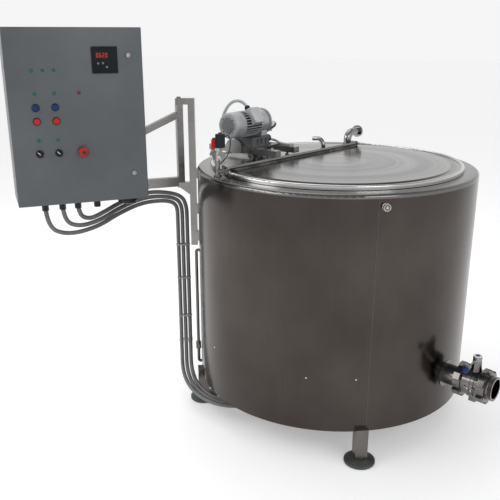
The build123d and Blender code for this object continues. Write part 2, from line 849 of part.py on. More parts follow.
def inlet_pipe():
    """Inlet elbow that ends in a clamped ferrule with a blank cap."""
    pipe = bent_tube([(inlet_x, inlet_y, lid_height), (inlet_x, inlet_y, inlet_level),
                      (inlet_end_x - 2 * ferrule_thickness, inlet_y, inlet_level)],
                     [inlet_bend], inlet_pipe_radius, inlet_pipe_radius - pipe_wall)
    collar = Pos(inlet_x, inlet_y, 0) * ring(inlet_pipe_radius + inlet_collar, inlet_pipe_radius, lid_top,
                                             lid_top + collar_height)
    end = inlet_end_x
    ferrule = rod((end - 2 * ferrule_thickness, inlet_y, inlet_level), (end, inlet_y, inlet_level),
                  ferrule_radius)
    groove = rod((end - ferrule_thickness - 1, inlet_y, inlet_level),
                 (end - ferrule_thickness + 1, inlet_y, inlet_level), ferrule_radius + 1)
    groove = groove - rod((end - 20, inlet_y, inlet_level), (end, inlet_y, inlet_level),
                          ferrule_radius - 3)
    return pipe + collar + (ferrule - groove)


def vent_pipe():
    pipe = bent_tube([(vent_x, vent_y, lid_height), (vent_x, vent_y, vent_level),
                      (vent_x, vent_y + vent_reach, vent_level - vent_drop)],
                     [vent_bend], vent_pipe_radius, vent_pipe_radius - pipe_wall)
    collar = Pos(vent_x, vent_y, 0) * ring(vent_pipe_radius + vent_collar, vent_pipe_radius, lid_top,
                                           lid_top + collar_height)
    return pipe + collar


def filling_pipe():
    """Upright pipe on the shoulder with a plugged side branch."""
    centre = (filling_x, filling_y)
    pipe = rod((*centre, shoulder_seat), (*centre, filling_body_bottom), filling_pipe_radius)
    collar = rod((*centre, shoulder_seat), (*centre, shoulder_seat + 6), filling_pipe_radius + 6)
    tee_end = filling_y - filling_tee_length
    branch = rod((filling_x, filling_y, filling_tee_height), (filling_x, tee_end, filling_tee_height),
                 filling_pipe_radius - 1)
    plug = Pos(filling_x, tee_end + 8, filling_tee_height) * Rot(90, 0, 0) * extrude(
        RegularPolygon(filling_pipe_radius + 1.5, 6), 8)
    bore = rod((*centre, shoulder_seat + 8), (*centre, filling_body_bottom + 1),
               filling_pipe_radius - 2)
    return pipe + collar + branch + plug - bore


def filling_valve():
    """Plated valve body with hexagon ends and the collar under its coil."""
    half = filling_body_length / 2
    wide = filling_body_width / 2
    middle = (filling_body_bottom + filling_body_top) / 2
    core = block((-wide, wide), (-half + 14, half - 14), (filling_body_bottom, filling_body_top))
    core = fillet(core.edges().filter_by(Axis.Z), 5)
    barrel = rod((0, -half, middle), (0, half, middle), 13)
    ends = [Pos(0, y, middle) * Rot(90, 0, 0) * extrude(RegularPolygon(17, 6), 14)
            for y in (-half + 14, half)]
    port = rod((0, half - 18, middle), (0, half + 1, middle), 9)
    collar = rod((0, 0, filling_body_top), (0, 0, coil_bottom), coil_collar_radius)
    body = core + barrel + ends[0] + ends[1] + collar - port
    return Location((filling_x, filling_y, 0)) * body


def solenoid_coil():
    half = coil_width / 2
    coil = fillet(block((-half, half), (-half, half), (coil_bottom, coil_top)).edges(), 4)
    nut = rod((0, 0, coil_top), (0, 0, coil_top + 5), 7)
    plug = fillet(block((-12, 12), (half, half + 20), (coil_bottom - 8, coil_top - 18)).edges(), 3)
    plug = plug - rod((-coil_offset, coil_offset, filling_body_top), (-coil_offset, coil_offset, coil_bottom),
                      coil_collar_radius + air)
    return Location((filling_x + coil_offset, filling_y - coil_offset, 0)) * (coil + nut + plug)


def shell_fittings():
    """Jacket vent nozzle beside the seam and the upright level pipe behind."""
    nozzle = Location((0, 0, 0), (0, 0, vent_nozzle_angle)) * (
        rod((shell_radius, 0, vent_nozzle_height), (shell_radius + 12, 0, vent_nozzle_height), 11)
        + rod((shell_radius + 12, 0, vent_nozzle_height), (shell_radius + 18, 0, vent_nozzle_height),
              14))
    stand = shell_radius + level_pipe_stand
    pipe = bent_tube([(shell_radius, 0, level_pipe_top), (stand, 0, level_pipe_top),
                      (stand, 0, level_pipe_bottom), (shell_radius, 0, level_pipe_bottom)],
                     [9.0, 9.0], level_pipe_radius)
    tap_level = level_pipe_bottom + tap_rise
    tap = rod((stand, -16, tap_level), (stand, 16, tap_level), 9)
    tap = tap + rod((stand, 0, tap_level - 15), (stand, 0, tap_level + 18), 12)
    pipe = Location((0, 0, 0), (0, 0, level_pipe_angle)) * (pipe + tap)
    return [nozzle - Pos(0, 0, shoulder_height / 2) * Cylinder(shell_radius, shoulder_height), pipe]


# Bottom outlet, built along the outlet's own axis

def outlet_stub():
    tube = ring(outlet_tube_radius, outlet_bore, vessel_radius - 16, stub_end)
    liner = ring(liner_radius, outlet_bore, stub_end - liner_length, stub_end)
    trim = Pos(0, 0, shell_bottom) * Cylinder(vessel_radius - vessel_wall, 900)
    rosette = ring(outlet_tube_radius + 14, outlet_tube_radius, shell_radius - 6, shell_radius + 1.5)
    shell = Pos(0, 0, 600) * Cylinder(shell_radius, 1300)
    return outlet * (tube + liner) - trim + (outlet * rosette - shell)


def slotted_nut(start, lip_at_end, lip_bore):
    """Round union nut with square lugs; the lip sits on the side away from the valve."""
    nut = ring(nut_body_radius, thread_radius + air, start, start + nut_length)
    lip_start = start + nut_length - nut_lip if lip_at_end else start
    nut = nut + ring(nut_body_radius - 1, lip_bore, lip_start, lip_start + nut_lip)
    lug = block((nut_body_radius - 4, nut_lug_radius), (-nut_lug_width / 2, nut_lug_width / 2),
                (start + 2, start + nut_length - 2))
    for index in range(nut_lugs):
        nut = nut + Rot(0, 0, index * 360.0 / nut_lugs + 30) * lug
    return outlet * nut


def union_nuts():
    return [slotted_nut(inner_nut_start, False, outlet_tube_radius + air),
            slotted_nut(outer_nut_start, True, outlet_end_radius + air)]


def valve_body():
    """Two flanged halves, male threads on both ends, the stem housing and a foot below."""
    start = stub_end + air
    reach = valve_end
    flange = valve_flange_radius
    barrel = valve_body_radius
    inner_nut_end = inner_nut_start + nut_length
    outline = [(outlet_bore, start), (thread_radius, start), (thread_radius, inner_nut_end + air),
               (barrel, inner_nut_end + air), (barrel, valve_centre - 14),
               (flange, valve_centre - 14), (flange, valve_centre - 1), (flange - 2, valve_centre),
               (flange, valve_centre + 1), (flange, valve_centre + 14), (barrel, valve_centre + 14),
               (barrel, outer_nut_start - air), (thread_radius, outer_nut_start - air),
               (thread_radius, reach), (outlet_bore, reach)]
    body = turned(outline)
    housing = Location((0, 0, valve_centre), (-90, 0, 0)) * turned(
        [(0, valve_body_radius - 6), (stem_housing_radius + 3, valve_body_radius - 6),
         (stem_housing_radius, valve_body_radius + 8), (stem_housing_radius - 3, stem_housing_top),
         (0, stem_housing_top)])
    foot = block((-16, 16), (-valve_foot_reach, -valve_body_radius + 4),
                 (valve_centre - 14, valve_centre + 14))
    foot = fillet(foot.edges().filter_by(Axis.Z), 4)
    for x in (-valve_flange_radius, valve_flange_radius):
        for z in (valve_centre - 15, valve_centre + 15):
            body = body + rod((x * 0.98, 0, z - 6), (x * 0.98, 0, z + 6), 6)
    bore = rod((0, 0, start - 1), (0, 0, reach + 1), outlet_bore)
    stem = rod((0, -valve_body_radius - 2, valve_centre), (0, stem_housing_top + 1, valve_centre),
               stem_radius + pin_play)
    return outlet * (body + housing + foot - bore - stem)


def valve_disc():
    """The butterfly's disc with its stem through both sides of the body."""
    disc = Pos(0, 0, valve_centre) * Cylinder(disc_radius, disc_thickness)
    stem = rod((0, -valve_body_radius, valve_centre), (0, stem_housing_top + 8, valve_centre),
               stem_radius)
    return outlet * (disc + stem)


def valve_handle():
    """Round cap over the stem and a thin rod that reaches sideways."""
    up = Location((0, 0, valve_centre), (-90, 0, 0))
    cap = up * turned([(0, stem_housing_top + air), (handle_cap_radius, stem_housing_top + air),
                       (handle_cap_radius, handle_cap_top - 3), (handle_cap_radius - 3, handle_cap_top),
                       (0, handle_cap_top)])
    arm = rod((0, stem_housing_top + 10, valve_centre),
              (-handle_reach + 6, stem_housing_top + 1, valve_centre), handle_rod_radius)
    socket = rod((0, stem_housing_top - 1, valve_centre), (0, stem_housing_top + 8, valve_centre),
                 stem_radius)
    return outlet * (cap + arm - socket)


def handle_knob():
    arm = rod((0, stem_housing_top + 10, valve_centre),
              (-handle_reach + 6, stem_housing_top + 1, valve_centre), handle_rod_radius)
    ball = turned_ball(handle_knob_radius)
    return outlet * (Pos(-handle_reach, stem_housing_top + 1, valve_centre) * ball - arm)


def outlet_end():
    """Open adapter held by the outer nut, with a round thread on its free end."""
    start = valve_end + air
    collar_end = outer_nut_start + nut_length - nut_lip - air
    outline = [(outlet_bore, start), (thread_radius - 1, start), (thread_radius - 1, collar_end),
               (outlet_end_radius, collar_end), (outlet_end_radius, outlet_tip - 16)]
    height = outlet_tip - 16
    while height < outlet_tip - 3:
        outline = outline + [(outlet_end_radius - 2.5, height + 2), (outlet_end_radius, height + 4)]
        height = height + 4
    outline = outline + [(outlet_end_radius - 3, outlet_tip), (outlet_bore, outlet_tip)]
    return outlet * turned(outline)


# Post, jib and cabinet

def panel_post():
    """Square post on the shell with two arms whose pins the jib turns on."""
    half = post_width / 2
    inner = post_radius - half
    outer = post_radius + half
    wall = post_wall
    tip = pivot_radius + half
    outsides = [block((inner, outer), (-half, half), (post_bottom, post_top)),
                block((outer - 1, tip), (-half, half), (upper_arm_bottom, post_top)),
                block((outer - 1, tip), (-half, half), (lower_arm_bottom, lower_arm_top))]
    insides = [block((inner + wall, outer - wall), (-half + wall, half - wall),
                     (post_bottom - 1, post_top - wall))]
    for height in post_brackets:
        low = height - bracket_height / 2
        outsides.append(block((shell_radius - 8, inner), (-half - 8, half + 8),
                              (low, low + bracket_height)))
    gusset = Plane.XZ * make_face(Polyline((outer, lower_arm_bottom), (tip - 6, lower_arm_bottom),
                                           (outer, lower_arm_bottom - 34), close=True))
    frame = welded(outsides, insides) + Pos(0, 3, 0) * extrude(gusset, 6)
    pin = pivot_pin_radius
    length = pivot_pin_length
    upper_pin = rod((pivot_radius, 0, upper_arm_bottom - length), (pivot_radius, 0, post_top), pin)
    pin_head = rod((pivot_radius, 0, post_top), (pivot_radius, 0, post_top + 6), pin + 3)
    lower_pin = rod((pivot_radius, 0, lower_arm_top), (pivot_radius, 0, lower_arm_top + length), pin)
    frame = frame + upper_pin + pin_head + lower_pin - Pos(0, 0, 600) * Cylinder(shell_radius, 1300)
    return post_frame * frame


def jib_frame():
    """Square tubes: the turning upright, the arm behind the cabinet, the brace and the upright."""
    half = post_width / 2
    wall = post_wall
    arm_top = arm_bottom + arm_height
    brace = Location((0, 0, brace_start), (0, -brace_slope, 0)) * block(
        (-upright_reach / math.cos(math.radians(brace_slope)), -half), (-half, half),
        (-brace_height / 2, brace_height / 2))
    outsides = [block((-half, half), (-half, half), (jib_bottom, jib_top)),
                block((-arm_reach, -half + 1), (-half, half), (arm_bottom, arm_top)),
                brace,
                block((-upright_reach - half, -upright_reach + half), (-half, half),
                      (arm_top, upright_top))]
    insides = [block((-half + wall, half - wall), (-half + wall, half - wall),
                     (jib_bottom + jib_cap, jib_top - jib_cap)),
               block((-arm_reach + wall, -half), (-half + wall, half - wall),
                     (arm_bottom + wall, arm_top - wall)),
               block((-upright_reach - half + wall, -upright_reach + half - wall),
                     (-half + wall, half - wall), (arm_top, upright_top - wall))]
    bore = Pos(0, 0, (jib_bottom + jib_top) / 2) * Cylinder(pivot_pin_radius + pin_play,
                                                           jib_top - jib_bottom + 2)
    swing_room = Pos(0, 0, arm_bottom - 2 + (jib_bottom - arm_bottom) / 2) * Cylinder(
        post_width * 0.8, jib_bottom - arm_bottom + 4)
    return panel * (welded(outsides, insides) - bore - swing_room)


def cabinet_box():
    """Sheet box with a front frame, an upstand that the door closes over, and hinge pins."""
    sheet = cabinet_sheet
    wide = cabinet_width
    high = cabinet_height
    deep = cabinet_depth
    box = block((0, wide), (box_front, deep), (0, high))
    box = fillet(box.edges().filter_by(Axis.Y), 4)
    box = box - block((sheet, wide - sheet), (box_front + sheet, deep - sheet), (sheet, high - sheet))
    opening = block((frame_inset, wide - frame_inset), (box_front - 5, box_front + 5),
                    (frame_inset, high - frame_inset))
    inset = gutter_inset
    gutter = frame_box((inset, wide - inset), (gutter_front, box_front), (inset, high - inset), sheet)
    box = box - opening + gutter
    axis = (door_axis_inset, door_depth)
    pin = hinge_pin_radius
    for height in hinge_heights:
        base = block((axis[0] - 4, axis[0] + 4), (axis[1] - 3, box_front), (height, height + 20))
        box = box + base + rod((*axis, height + 10), (*axis, height + 20 + hinge_length), pin)
    for place in gland_places:
        box = box - rod((place, gland_depth, -2), (place, gland_depth, 4), 10)
    return cabinet * box


def cabinet_door():
    """Tray-shaped door with its gasket, hinge knuckles and the openings for the fittings."""
    sheet = cabinet_sheet
    wide = cabinet_width
    high = cabinet_height
    door = block((0, wide), (0, door_depth), (0, high))
    door = fillet(door.edges().filter_by(Axis.Y) + door.edges().group_by(Axis.Y)[0], door_bend)
    door = door - block((sheet, wide - sheet), (sheet, door_depth + 1), (sheet, high - sheet))
    axis = (door_axis_inset, door_depth)
    for height in hinge_heights:
        low = height + 20 + air
        top = height + 20 + hinge_length
        knuckle = rod((*axis, low), (*axis, top), hinge_knuckle_radius)
        web = block((axis[0] - 1.5, axis[0] + 1.5), (sheet - 0.5, axis[1] - 2), (low, top))
        relief = block((-1, sheet + 0.01), (sheet + door_bend, door_depth + 1), (height - 4, low))
        door = door + knuckle + web - relief
        door = door - rod((*axis, low - 1), (*axis, top + 1), hinge_pin_radius + pin_play)
    door = cabinet * door
    hole = neck_radius
    for x, y in switch_places:
        door = door - front_face * Pos(x, y, 0) * Cylinder(hole, 20)
    for x, y in lamp_places:
        door = door - front_face * Pos(x, y, 0) * Cylinder(lamp_radius, 20)
    for y in lock_heights:
        door = door - front_face * Pos(lock_x, y, 0) * Cylinder(lock_stem_radius + 2, 20)
    door = door - front_face * Pos(*controller_place, 0) * Box(controller_cutout, controller_cutout,
                                                               20)
    inset = gutter_inset - 5
    seal = frame_box((inset, wide - inset), (sheet, gutter_front - air), (inset, high - inset), 12)
    bosses = [front_face * Pos(lock_x, y, 0) * (
        ring(lock_radius + 1, lock_stem_radius + pin_play, -14, -sheet)
        + ring(lock_stem_radius + 2, lock_stem_radius + pin_play, -sheet, 0)) for y in lock_heights]
    return [door, cabinet * seal] + bosses


def door_lock(height):
    """Quarter-turn lock: slotted head in front, stem through the door and a cam behind it."""
    head = rod((0, 0, 0), (0, 0, 3), lock_radius)
    head = head - block((-1.5, 1.5), (-6, 6), (1, 4))
    stem = rod((0, 0, -cam_level - 3), (0, 0, 1), lock_stem_radius)
    cam = block((-cam_width / 2, cam_width / 2), (-cam_width / 2, cam_reach),
                (-cam_level - 3, -cam_level))
    cam = fillet(cam.edges().filter_by(Axis.Z), 5)
    return front_face * Pos(lock_x, height, 0) * (head + stem + cam)


def controller():
    """Panel meter with a raised frame, a display window and three flat keys."""
    half = controller_size / 2
    bezel = block((-half, half), (-half, half), (0, controller_bezel))
    bezel = fillet(bezel.edges().filter_by(Axis.Z), 3)
    bezel = fillet(bezel.edges().group_by(Axis.Z)[-1], 1.5)
    recess = block((-half + 6, half - 6), (-half + 6, half - 6), (controller_bezel - 1.5, 10))
    window = block((-35, 15), (6, 28), (controller_bezel - 2, controller_bezel - 1))
    body_half = controller_cutout / 2 - air
    body = block((-body_half, body_half), (-body_half, body_half), (-controller_depth, 0))
    meter = bezel - recess + window + body
    for x, y in key_places:
        meter = meter + Pos(x, y, controller_bezel - 1.3) * Cylinder(4, 1)
    return front_face * Pos(*controller_place, 0) * meter


def push_button(x, y):
    """A plain cap that slides in the bezel."""
    cap = turned([(0, -cap_depth), (cap_radius, -cap_depth), (cap_radius, cap_height - 1),
                  (cap_radius - 1, cap_height), (0, cap_height)])
    return front_face * Pos(x, y, 0) * cap


def selector(x, y):
    """A turned base with a raised grip, set at the slant it has in the picture."""
    base = turned([(0, -cap_depth), (cap_radius, -cap_depth), (cap_radius, bezel_height + 3),
                   (0, bezel_height + 3)])
    grip = block((-4, 4), (-selector_half, selector_half), (bezel_height + 1, selector_height))
    grip = fillet(grip.edges().filter_by(Axis.Z), 2.5)
    groove = block((-0.8, 0.8), (2, selector_half), (selector_height - 1, selector_height + 1))
    return front_face * Pos(x, y, 0) * Rot(0, 0, selector_turn) * (base + grip - groove)


def emergency_button():
    high = mushroom_bottom + mushroom_height
    cap = turned([(0, -cap_depth), (cap_radius, -cap_depth), (cap_radius, mushroom_bottom),
                  (mushroom_radius, mushroom_bottom), (mushroom_radius, high - 5),
                  (mushroom_radius - 3, high - 1.5), (mushroom_radius - 7, high), (0, high)])
    return front_face * Pos(far_column, selector_row, 0) * cap


def indicator_lamps():
    lamp = turned([(0, -lamp_depth), (lamp_radius - air, -lamp_depth), (lamp_radius - air, 0),
                   (lamp_bezel_radius, 0), (lamp_bezel_radius, 1.5), (lamp_radius, 2),
                   (lamp_radius - 1, lamp_height - 1), (lamp_radius - 3, lamp_height),
                   (0, lamp_height)])
    return [front_face * Pos(x, y, 0) * lamp for x, y in lamp_places]


def switch_bodies():
    """Bezels, necks and contact blocks that stay in the door while the caps move."""
    bore = cap_radius + air
    floor = -cap_depth - mushroom_travel - 2
    body = turned([(0, -switch_depth), (neck_radius + 2, -switch_depth), (neck_radius + 2, -6),
                   (neck_radius - air, -6), (neck_radius - air, 0), (bezel_radius, 0),
                   (bezel_radius, bezel_height - 1), (bezel_radius - 1, bezel_height),
                   (bore, bezel_height), (bore, floor), (0, floor)])
    return [front_face * Pos(x, y, 0) * body for x, y in switch_places]


def switchgear():
    """Mounting plate with rails, contactors, breakers and a row of terminals."""
    plate = mounting_plate
    back = block((25, 475), (plate, plate + 2), (25, 625))
    gear = back
    for x, z in ((60, 70), (440, 70), (60, 580), (440, 580)):
        gear = gear + rod((x, plate + 2, z), (x, cabinet_depth - cabinet_sheet, z), 5)
    for z in (470, 320, 150):
        gear = gear + block((50, 450), (plate - 8, plate), (z - 17, z + 17))
    for index in range(6):
        x = 70 + index * 19
        gear = gear + block((x, x + 17.5), (plate - 66, plate - 8), (430, 510))
    for x in (60, 130, 200, 270):
        gear = gear + block((x, x + 46), (plate - 80, plate - 8), (278, 362))
    for index in range(20):
        x = 60 + index * 16
        gear = gear + block((x, x + 15), (plate - 44, plate - 8), (126, 174))
    return cabinet * gear


def cable_glands():
    """Hexagon glands under the cabinet and a round buzzer beside them."""
    pieces = []
    hexagon = Pos(0, 0, -gland_height) * extrude(RegularPolygon(gland_radius, 6), gland_height)
    nut = Pos(0, 0, cabinet_sheet) * extrude(RegularPolygon(gland_radius, 6), 6)
    neck = rod((0, 0, -1), (0, 0, 4), 10)
    bore = rod((0, 0, -gland_height - 1), (0, 0, -6), conduit_radius + 0.5)
    for index, place in enumerate(gland_places):
        gland = hexagon + nut + neck
        if index < 3:
            gland = gland - bore
        pieces.append(cabinet * Pos(place, gland_depth, 0) * gland)
    rim = buzzer_radius - 6
    buzzer = Pos(*buzzer_place, 0) * turned([(0, -buzzer_height), (rim - 8, -buzzer_height),
                                             (rim, 4 - buzzer_height), (buzzer_radius, -14),
                                             (buzzer_radius, 0), (0, 0)])
    return pieces + [cabinet * buzzer]


# Conduits: three from the cabinet to the jib's axis, three on down to the base, one to the motor

def at_panel(points):
    """Points given beside the jib, turned into the vat's frame."""
    return [tuple((panel * Location(point)).position) for point in points]


def lane_start(lane):
    """Where one lane of the bundle crosses from the jib to the vat, beside the jib's axis."""
    turn = math.radians(bundle_route[0][3] - panel_yaw)
    return (-math.sin(turn) * lane, math.cos(turn) * lane)


gland_mouth = cabinet_bottom - 12
panel_routes = [
    [(-601, -170, gland_mouth), (-601, -170, 915), (-528, -186, 880), (-405, -158, 893),
     (-300, -78, 922), (-185, -14, 944), (-92, 0, 944), (-40, 1, 932)],
    [(-535, -170, gland_mouth), (-535, -170, 934), (-475, -170, 905), (-385, -148, 920),
     (-295, -76, 945), (-180, -12, 965), (-92, 0, 964), (-20, 0, 946)],
    [(-475, -170, gland_mouth), (-475, -170, 955), (-435, -160, 930), (-380, -140, 944),
     (-290, -74, 968), (-178, -10, 986), (-92, 0, 984), (0, -2, 960)]]
bundle_route = [
    (pivot_x, pivot_y, conduit_split - 1.5, -124.8), (pivot_x, pivot_y, 640.0, -124.8),
    (-436.0, 518.0, 420.0, -124.8), (-441.0, 513.0, 240.0, -124.8),
    (-500.0, 448.0, 122.0, -120.0), (-548.0, 320.0, 92.0, -102.0), (-545.0, 195.0, 85.0, -72.0),
    (-478.0, 100.0, 86.0, -38.0),
    (*junction_place, junction_entry, junction_heading)]


def panel_conduit(index):
    """From a gland in a hanging loop to the arm, along it, and down at the jib's axis."""
    x, y = lane_start(lanes[index])
    points = panel_routes[index] + [(x, y, conduit_split + split_run), (x, y, conduit_split)]
    return cord("panel conduit", at_panel(points), conduit_radius)


def tank_conduit(index):
    """One lane of the flat bundle, moved sideways from the bundle's middle route."""
    points = []
    for x, y, z, heading in bundle_route:
        turn = math.radians(heading)
        points.append((x - math.sin(turn) * lanes[index], y + math.cos(turn) * lanes[index], z))
    return cord("tank conduit", points, conduit_radius)


def motor_conduit():
    """From the terminal box over the motor and down to the beam behind it."""
    along, level = terminal_entry
    start = (terminal * Location((along, terminal_width / 2 + 5, level))).position
    lift = (terminal * Location((along, terminal_width / 2 + 44, level))).position
    rest = [(drive * Location(point)).position for point in
            [(-128, 40, 1366), (-136, 84, 1292), (-84, 120, 1216), (-76, 124, 1163.6)]]
    points = [tuple(point) for point in [start, lift] + rest]
    return cord("motor conduit", points, motor_conduit_radius)


def write(name, shape):
    """One STEP file per named piece; a list becomes one group of separate solids."""
    if isinstance(shape, list):
        shape = Compound(children=shape)
    export_step(shape, "parts/" + name + ".step")


os.makedirs("parts", exist_ok=True)
for build in (outer_shell, shoulder_ring, inner_vessel, jacket_wall, insulation, base_frame, legs,
              foot_pads, heaters, front_lid, hinge_rod, rear_cover, lid_gasket, bridge_beams,
              gearbox, gear_case, motor_body, fan_cowl, motor_fan, terminal_box, agitator_shaft,
              agitator_blades, inlet_pipe, vent_pipe, filling_pipe, filling_valve, solenoid_coil,
              shell_fittings, outlet_stub, union_nuts, valve_body, valve_disc, valve_handle,
              handle_knob, outlet_end, panel_post, jib_frame, cabinet_box, cabinet_door, controller,
              emergency_button, indicator_lamps, switch_bodies, switchgear, cable_glands,
              motor_conduit):
    write(build.__name__, build())
write("lock_upper", door_lock(lock_heights[0]))
write("lock_lower", door_lock(lock_heights[1]))
write("start_button_left", push_button(left_column, start_row))
write("start_button_right", push_button(right_column, start_row))
write("stop_button_left", push_button(left_column, stop_row))
write("stop_button_right", push_button(right_column, stop_row))
write("selector_left", selector(left_column, selector_row))
write("selector_right", selector(right_column, selector_row))
for number in range(3):
    write("panel_conduit_" + str(number + 1), panel_conduit(number))
    write("tank_conduit_" + str(number + 1), tank_conduit(number))
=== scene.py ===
import bmesh
import bpy
import math
from mathutils import Matrix, Vector


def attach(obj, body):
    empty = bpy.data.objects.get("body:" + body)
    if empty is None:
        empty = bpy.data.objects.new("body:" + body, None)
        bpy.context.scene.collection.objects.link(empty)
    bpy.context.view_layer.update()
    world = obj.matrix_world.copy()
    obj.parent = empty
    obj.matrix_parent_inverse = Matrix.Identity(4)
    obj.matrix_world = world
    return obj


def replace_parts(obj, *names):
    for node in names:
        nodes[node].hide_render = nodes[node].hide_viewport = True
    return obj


# Looks of a vat pasteurizer, in metres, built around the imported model.
# The origin is on the floor under the middle of the vat, the outlet points along -Y.

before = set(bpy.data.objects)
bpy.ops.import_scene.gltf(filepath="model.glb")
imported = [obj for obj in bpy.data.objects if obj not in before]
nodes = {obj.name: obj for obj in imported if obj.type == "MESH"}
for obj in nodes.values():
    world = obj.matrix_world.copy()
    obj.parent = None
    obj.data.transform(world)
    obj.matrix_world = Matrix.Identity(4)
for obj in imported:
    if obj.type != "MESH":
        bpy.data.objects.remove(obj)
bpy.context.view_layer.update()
scene = bpy.context.scene

# Sizes and places that several pieces share, as in the part's source. Angles are in degrees.
shell_radius = 0.600
drive_place = Vector((-0.115, 0.365, 0))
bridge_turn = 5.0
motor_height = 1.267
cowl_start = -0.140
cowl_depth = 0.0556
pivot_radius = 0.6775
pivot_angle = 129.8
panel_turn = -26.7
lid_rim_start = 0.5235
cover_top = 1.1236
filling_place = Vector((-0.531, 0.196, 0))
valve_middle = Vector((0, -0.727, 0))


# Shader helpers

def new_material(name):
    material = bpy.data.materials.new(name)
    material.use_nodes = True
    material.node_tree.nodes.clear()
    return material


def add_node(tree, kind, **values):
    """A node with its settings and with plain values on its sockets."""
    node = tree.nodes.new(kind)
    for key, value in values.items():
        if key in node.inputs:
            node.inputs[key].default_value = value
        else:
            setattr(node, key, value)
    return node


def map_range(tree, source, low, high, from_low=0.0, from_high=1.0):
    node = add_node(tree, "ShaderNodeMapRange")
    tree.links.new(source, node.inputs["Value"])
    node.inputs["From Min"].default_value = from_low
    node.inputs["From Max"].default_value = from_high
    node.inputs["To Min"].default_value = low
    node.inputs["To Max"].default_value = high
    return node.outputs["Result"]


def blend_colours(tree, factor, first, second):
    node = add_node(tree, "ShaderNodeMix", data_type="RGBA")
    tree.links.new(factor, node.inputs[0])
    for socket, colour in ((node.inputs[6], first), (node.inputs[7], second)):
        if isinstance(colour, tuple):
            socket.default_value = (*colour, 1)
        else:
            tree.links.new(colour, socket)
    return node.outputs[2]


def new_group(name, inputs, outputs):
    group = bpy.data.node_groups.new(name, "ShaderNodeTree")
    for label, kind, value in inputs:
        socket = group.interface.new_socket(label, in_out="INPUT", socket_type=kind)
        socket.default_value = value
    for label, kind in outputs:
        group.interface.new_socket(label, in_out="OUTPUT", socket_type=kind)
    return group, group.nodes.new("NodeGroupInput"), group.nodes.new("NodeGroupOutput")


def brushing_group():
    """Fine scratches drawn out along one direction, with slow smudges over them."""
    group, start, end = new_group(
        "brushing",
        [("Stretch", "NodeSocketVector", (900, 900, 14)), ("Smudge Scale", "NodeSocketFloat", 3.0)],
        [("Scratch", "NodeSocketFloat"), ("Smudge", "NodeSocketFloat")])
    place = add_node(group, "ShaderNodeTexCoord")
    stretch = add_node(group, "ShaderNodeVectorMath", operation="MULTIPLY")
    group.links.new(place.outputs["Object"], stretch.inputs[0])
    group.links.new(start.outputs["Stretch"], stretch.inputs[1])
    fine = add_node(group, "ShaderNodeTexNoise", Scale=1.0, Detail=3.0, Roughness=0.6)
    group.links.new(stretch.outputs[0], fine.inputs["Vector"])
    slow = add_node(group, "ShaderNodeTexNoise", Detail=4.0, Roughness=0.55)
    group.links.new(place.outputs["Object"], slow.inputs["Vector"])
    group.links.new(start.outputs["Smudge Scale"], slow.inputs["Scale"])
    group.links.new(fine.outputs["Fac"], end.inputs["Scratch"])
    group.links.new(slow.outputs["Fac"], end.inputs["Smudge"])
    return group


def rings_group():
    """Turned marks: noise drawn out round the vat's upright axis."""
    group, start, end = new_group(
        "turned_rings", [("Pitch", "NodeSocketFloat", 160.0)],
        [("Scratch", "NodeSocketFloat"), ("Wave", "NodeSocketFloat"), ("Radius", "NodeSocketFloat")])
    place = add_node(group, "ShaderNodeTexCoord")
    flat = add_node(group, "ShaderNodeVectorMath", operation="MULTIPLY")
    group.links.new(place.outputs["Object"], flat.inputs[0])
    flat.inputs[1].default_value = (1, 1, 0)
    away = add_node(group, "ShaderNodeVectorMath", operation="LENGTH")
    group.links.new(flat.outputs[0], away.inputs[0])
    scaled = add_node(group, "ShaderNodeMath", operation="MULTIPLY")
    group.links.new(away.outputs["Value"], scaled.inputs[0])
    group.links.new(start.outputs["Pitch"], scaled.inputs[1])
    fine = add_node(group, "ShaderNodeTexNoise", noise_dimensions="1D", Scale=3.0, Detail=4.0)
    group.links.new(scaled.outputs[0], fine.inputs["W"])
    slow = add_node(group, "ShaderNodeTexNoise", noise_dimensions="1D", Scale=0.12, Detail=2.0)
    group.links.new(scaled.outputs[0], slow.inputs["W"])
    group.links.new(fine.outputs["Fac"], end.inputs["Scratch"])
    group.links.new(slow.outputs["Fac"], end.inputs["Wave"])
    group.links.new(away.outputs["Value"], end.inputs["Radius"])
    return group


def grain_group():
    """Fine even grain of paint, castings and moulded plastic, with slow soiling."""
    group, start, end = new_group(
        "grain", [("Grain Scale", "NodeSocketFloat", 900.0), ("Soil Scale", "NodeSocketFloat", 6.0)],
        [("Grain", "NodeSocketFloat"), ("Soil", "NodeSocketFloat")])
    place = add_node(group, "ShaderNodeTexCoord")
    for label, socket, detail in (("Grain", "Grain Scale", 2.0), ("Soil", "Soil Scale", 5.0)):
        noise = add_node(group, "ShaderNodeTexNoise", Detail=detail, Roughness=0.6)
        group.links.new(place.outputs["Object"], noise.inputs["Vector"])
        group.links.new(start.outputs[socket], noise.inputs["Scale"])
        group.links.new(noise.outputs["Fac"], end.inputs[label])
    return group


brushing = brushing_group()
turned_rings = rings_group()
grain = grain_group()


def shader_of(material):
    return next(node for node in material.node_tree.nodes if node.type == "BSDF_PRINCIPLED")


def surface(material, roughness, colour, height, depth, metallic=0.0, coat=0.0, distance=0.001):
    """The one shader of a material: colour, roughness and a fine bump."""
    tree = material.node_tree
    shader = add_node(tree, "ShaderNodeBsdfPrincipled", Metallic=metallic)
    shader.inputs["Coat Weight"].default_value = coat
    output = add_node(tree, "ShaderNodeOutputMaterial")
    bump = add_node(tree, "ShaderNodeBump", Strength=depth, Distance=distance)
    tree.links.new(height, bump.inputs["Height"])
    tree.links.new(bump.outputs["Normal"], shader.inputs["Normal"])
    tree.links.new(roughness, shader.inputs["Roughness"])
    tree.links.new(colour, shader.inputs["Base Color"])
    tree.links.new(shader.outputs["BSDF"], output.inputs["Surface"])


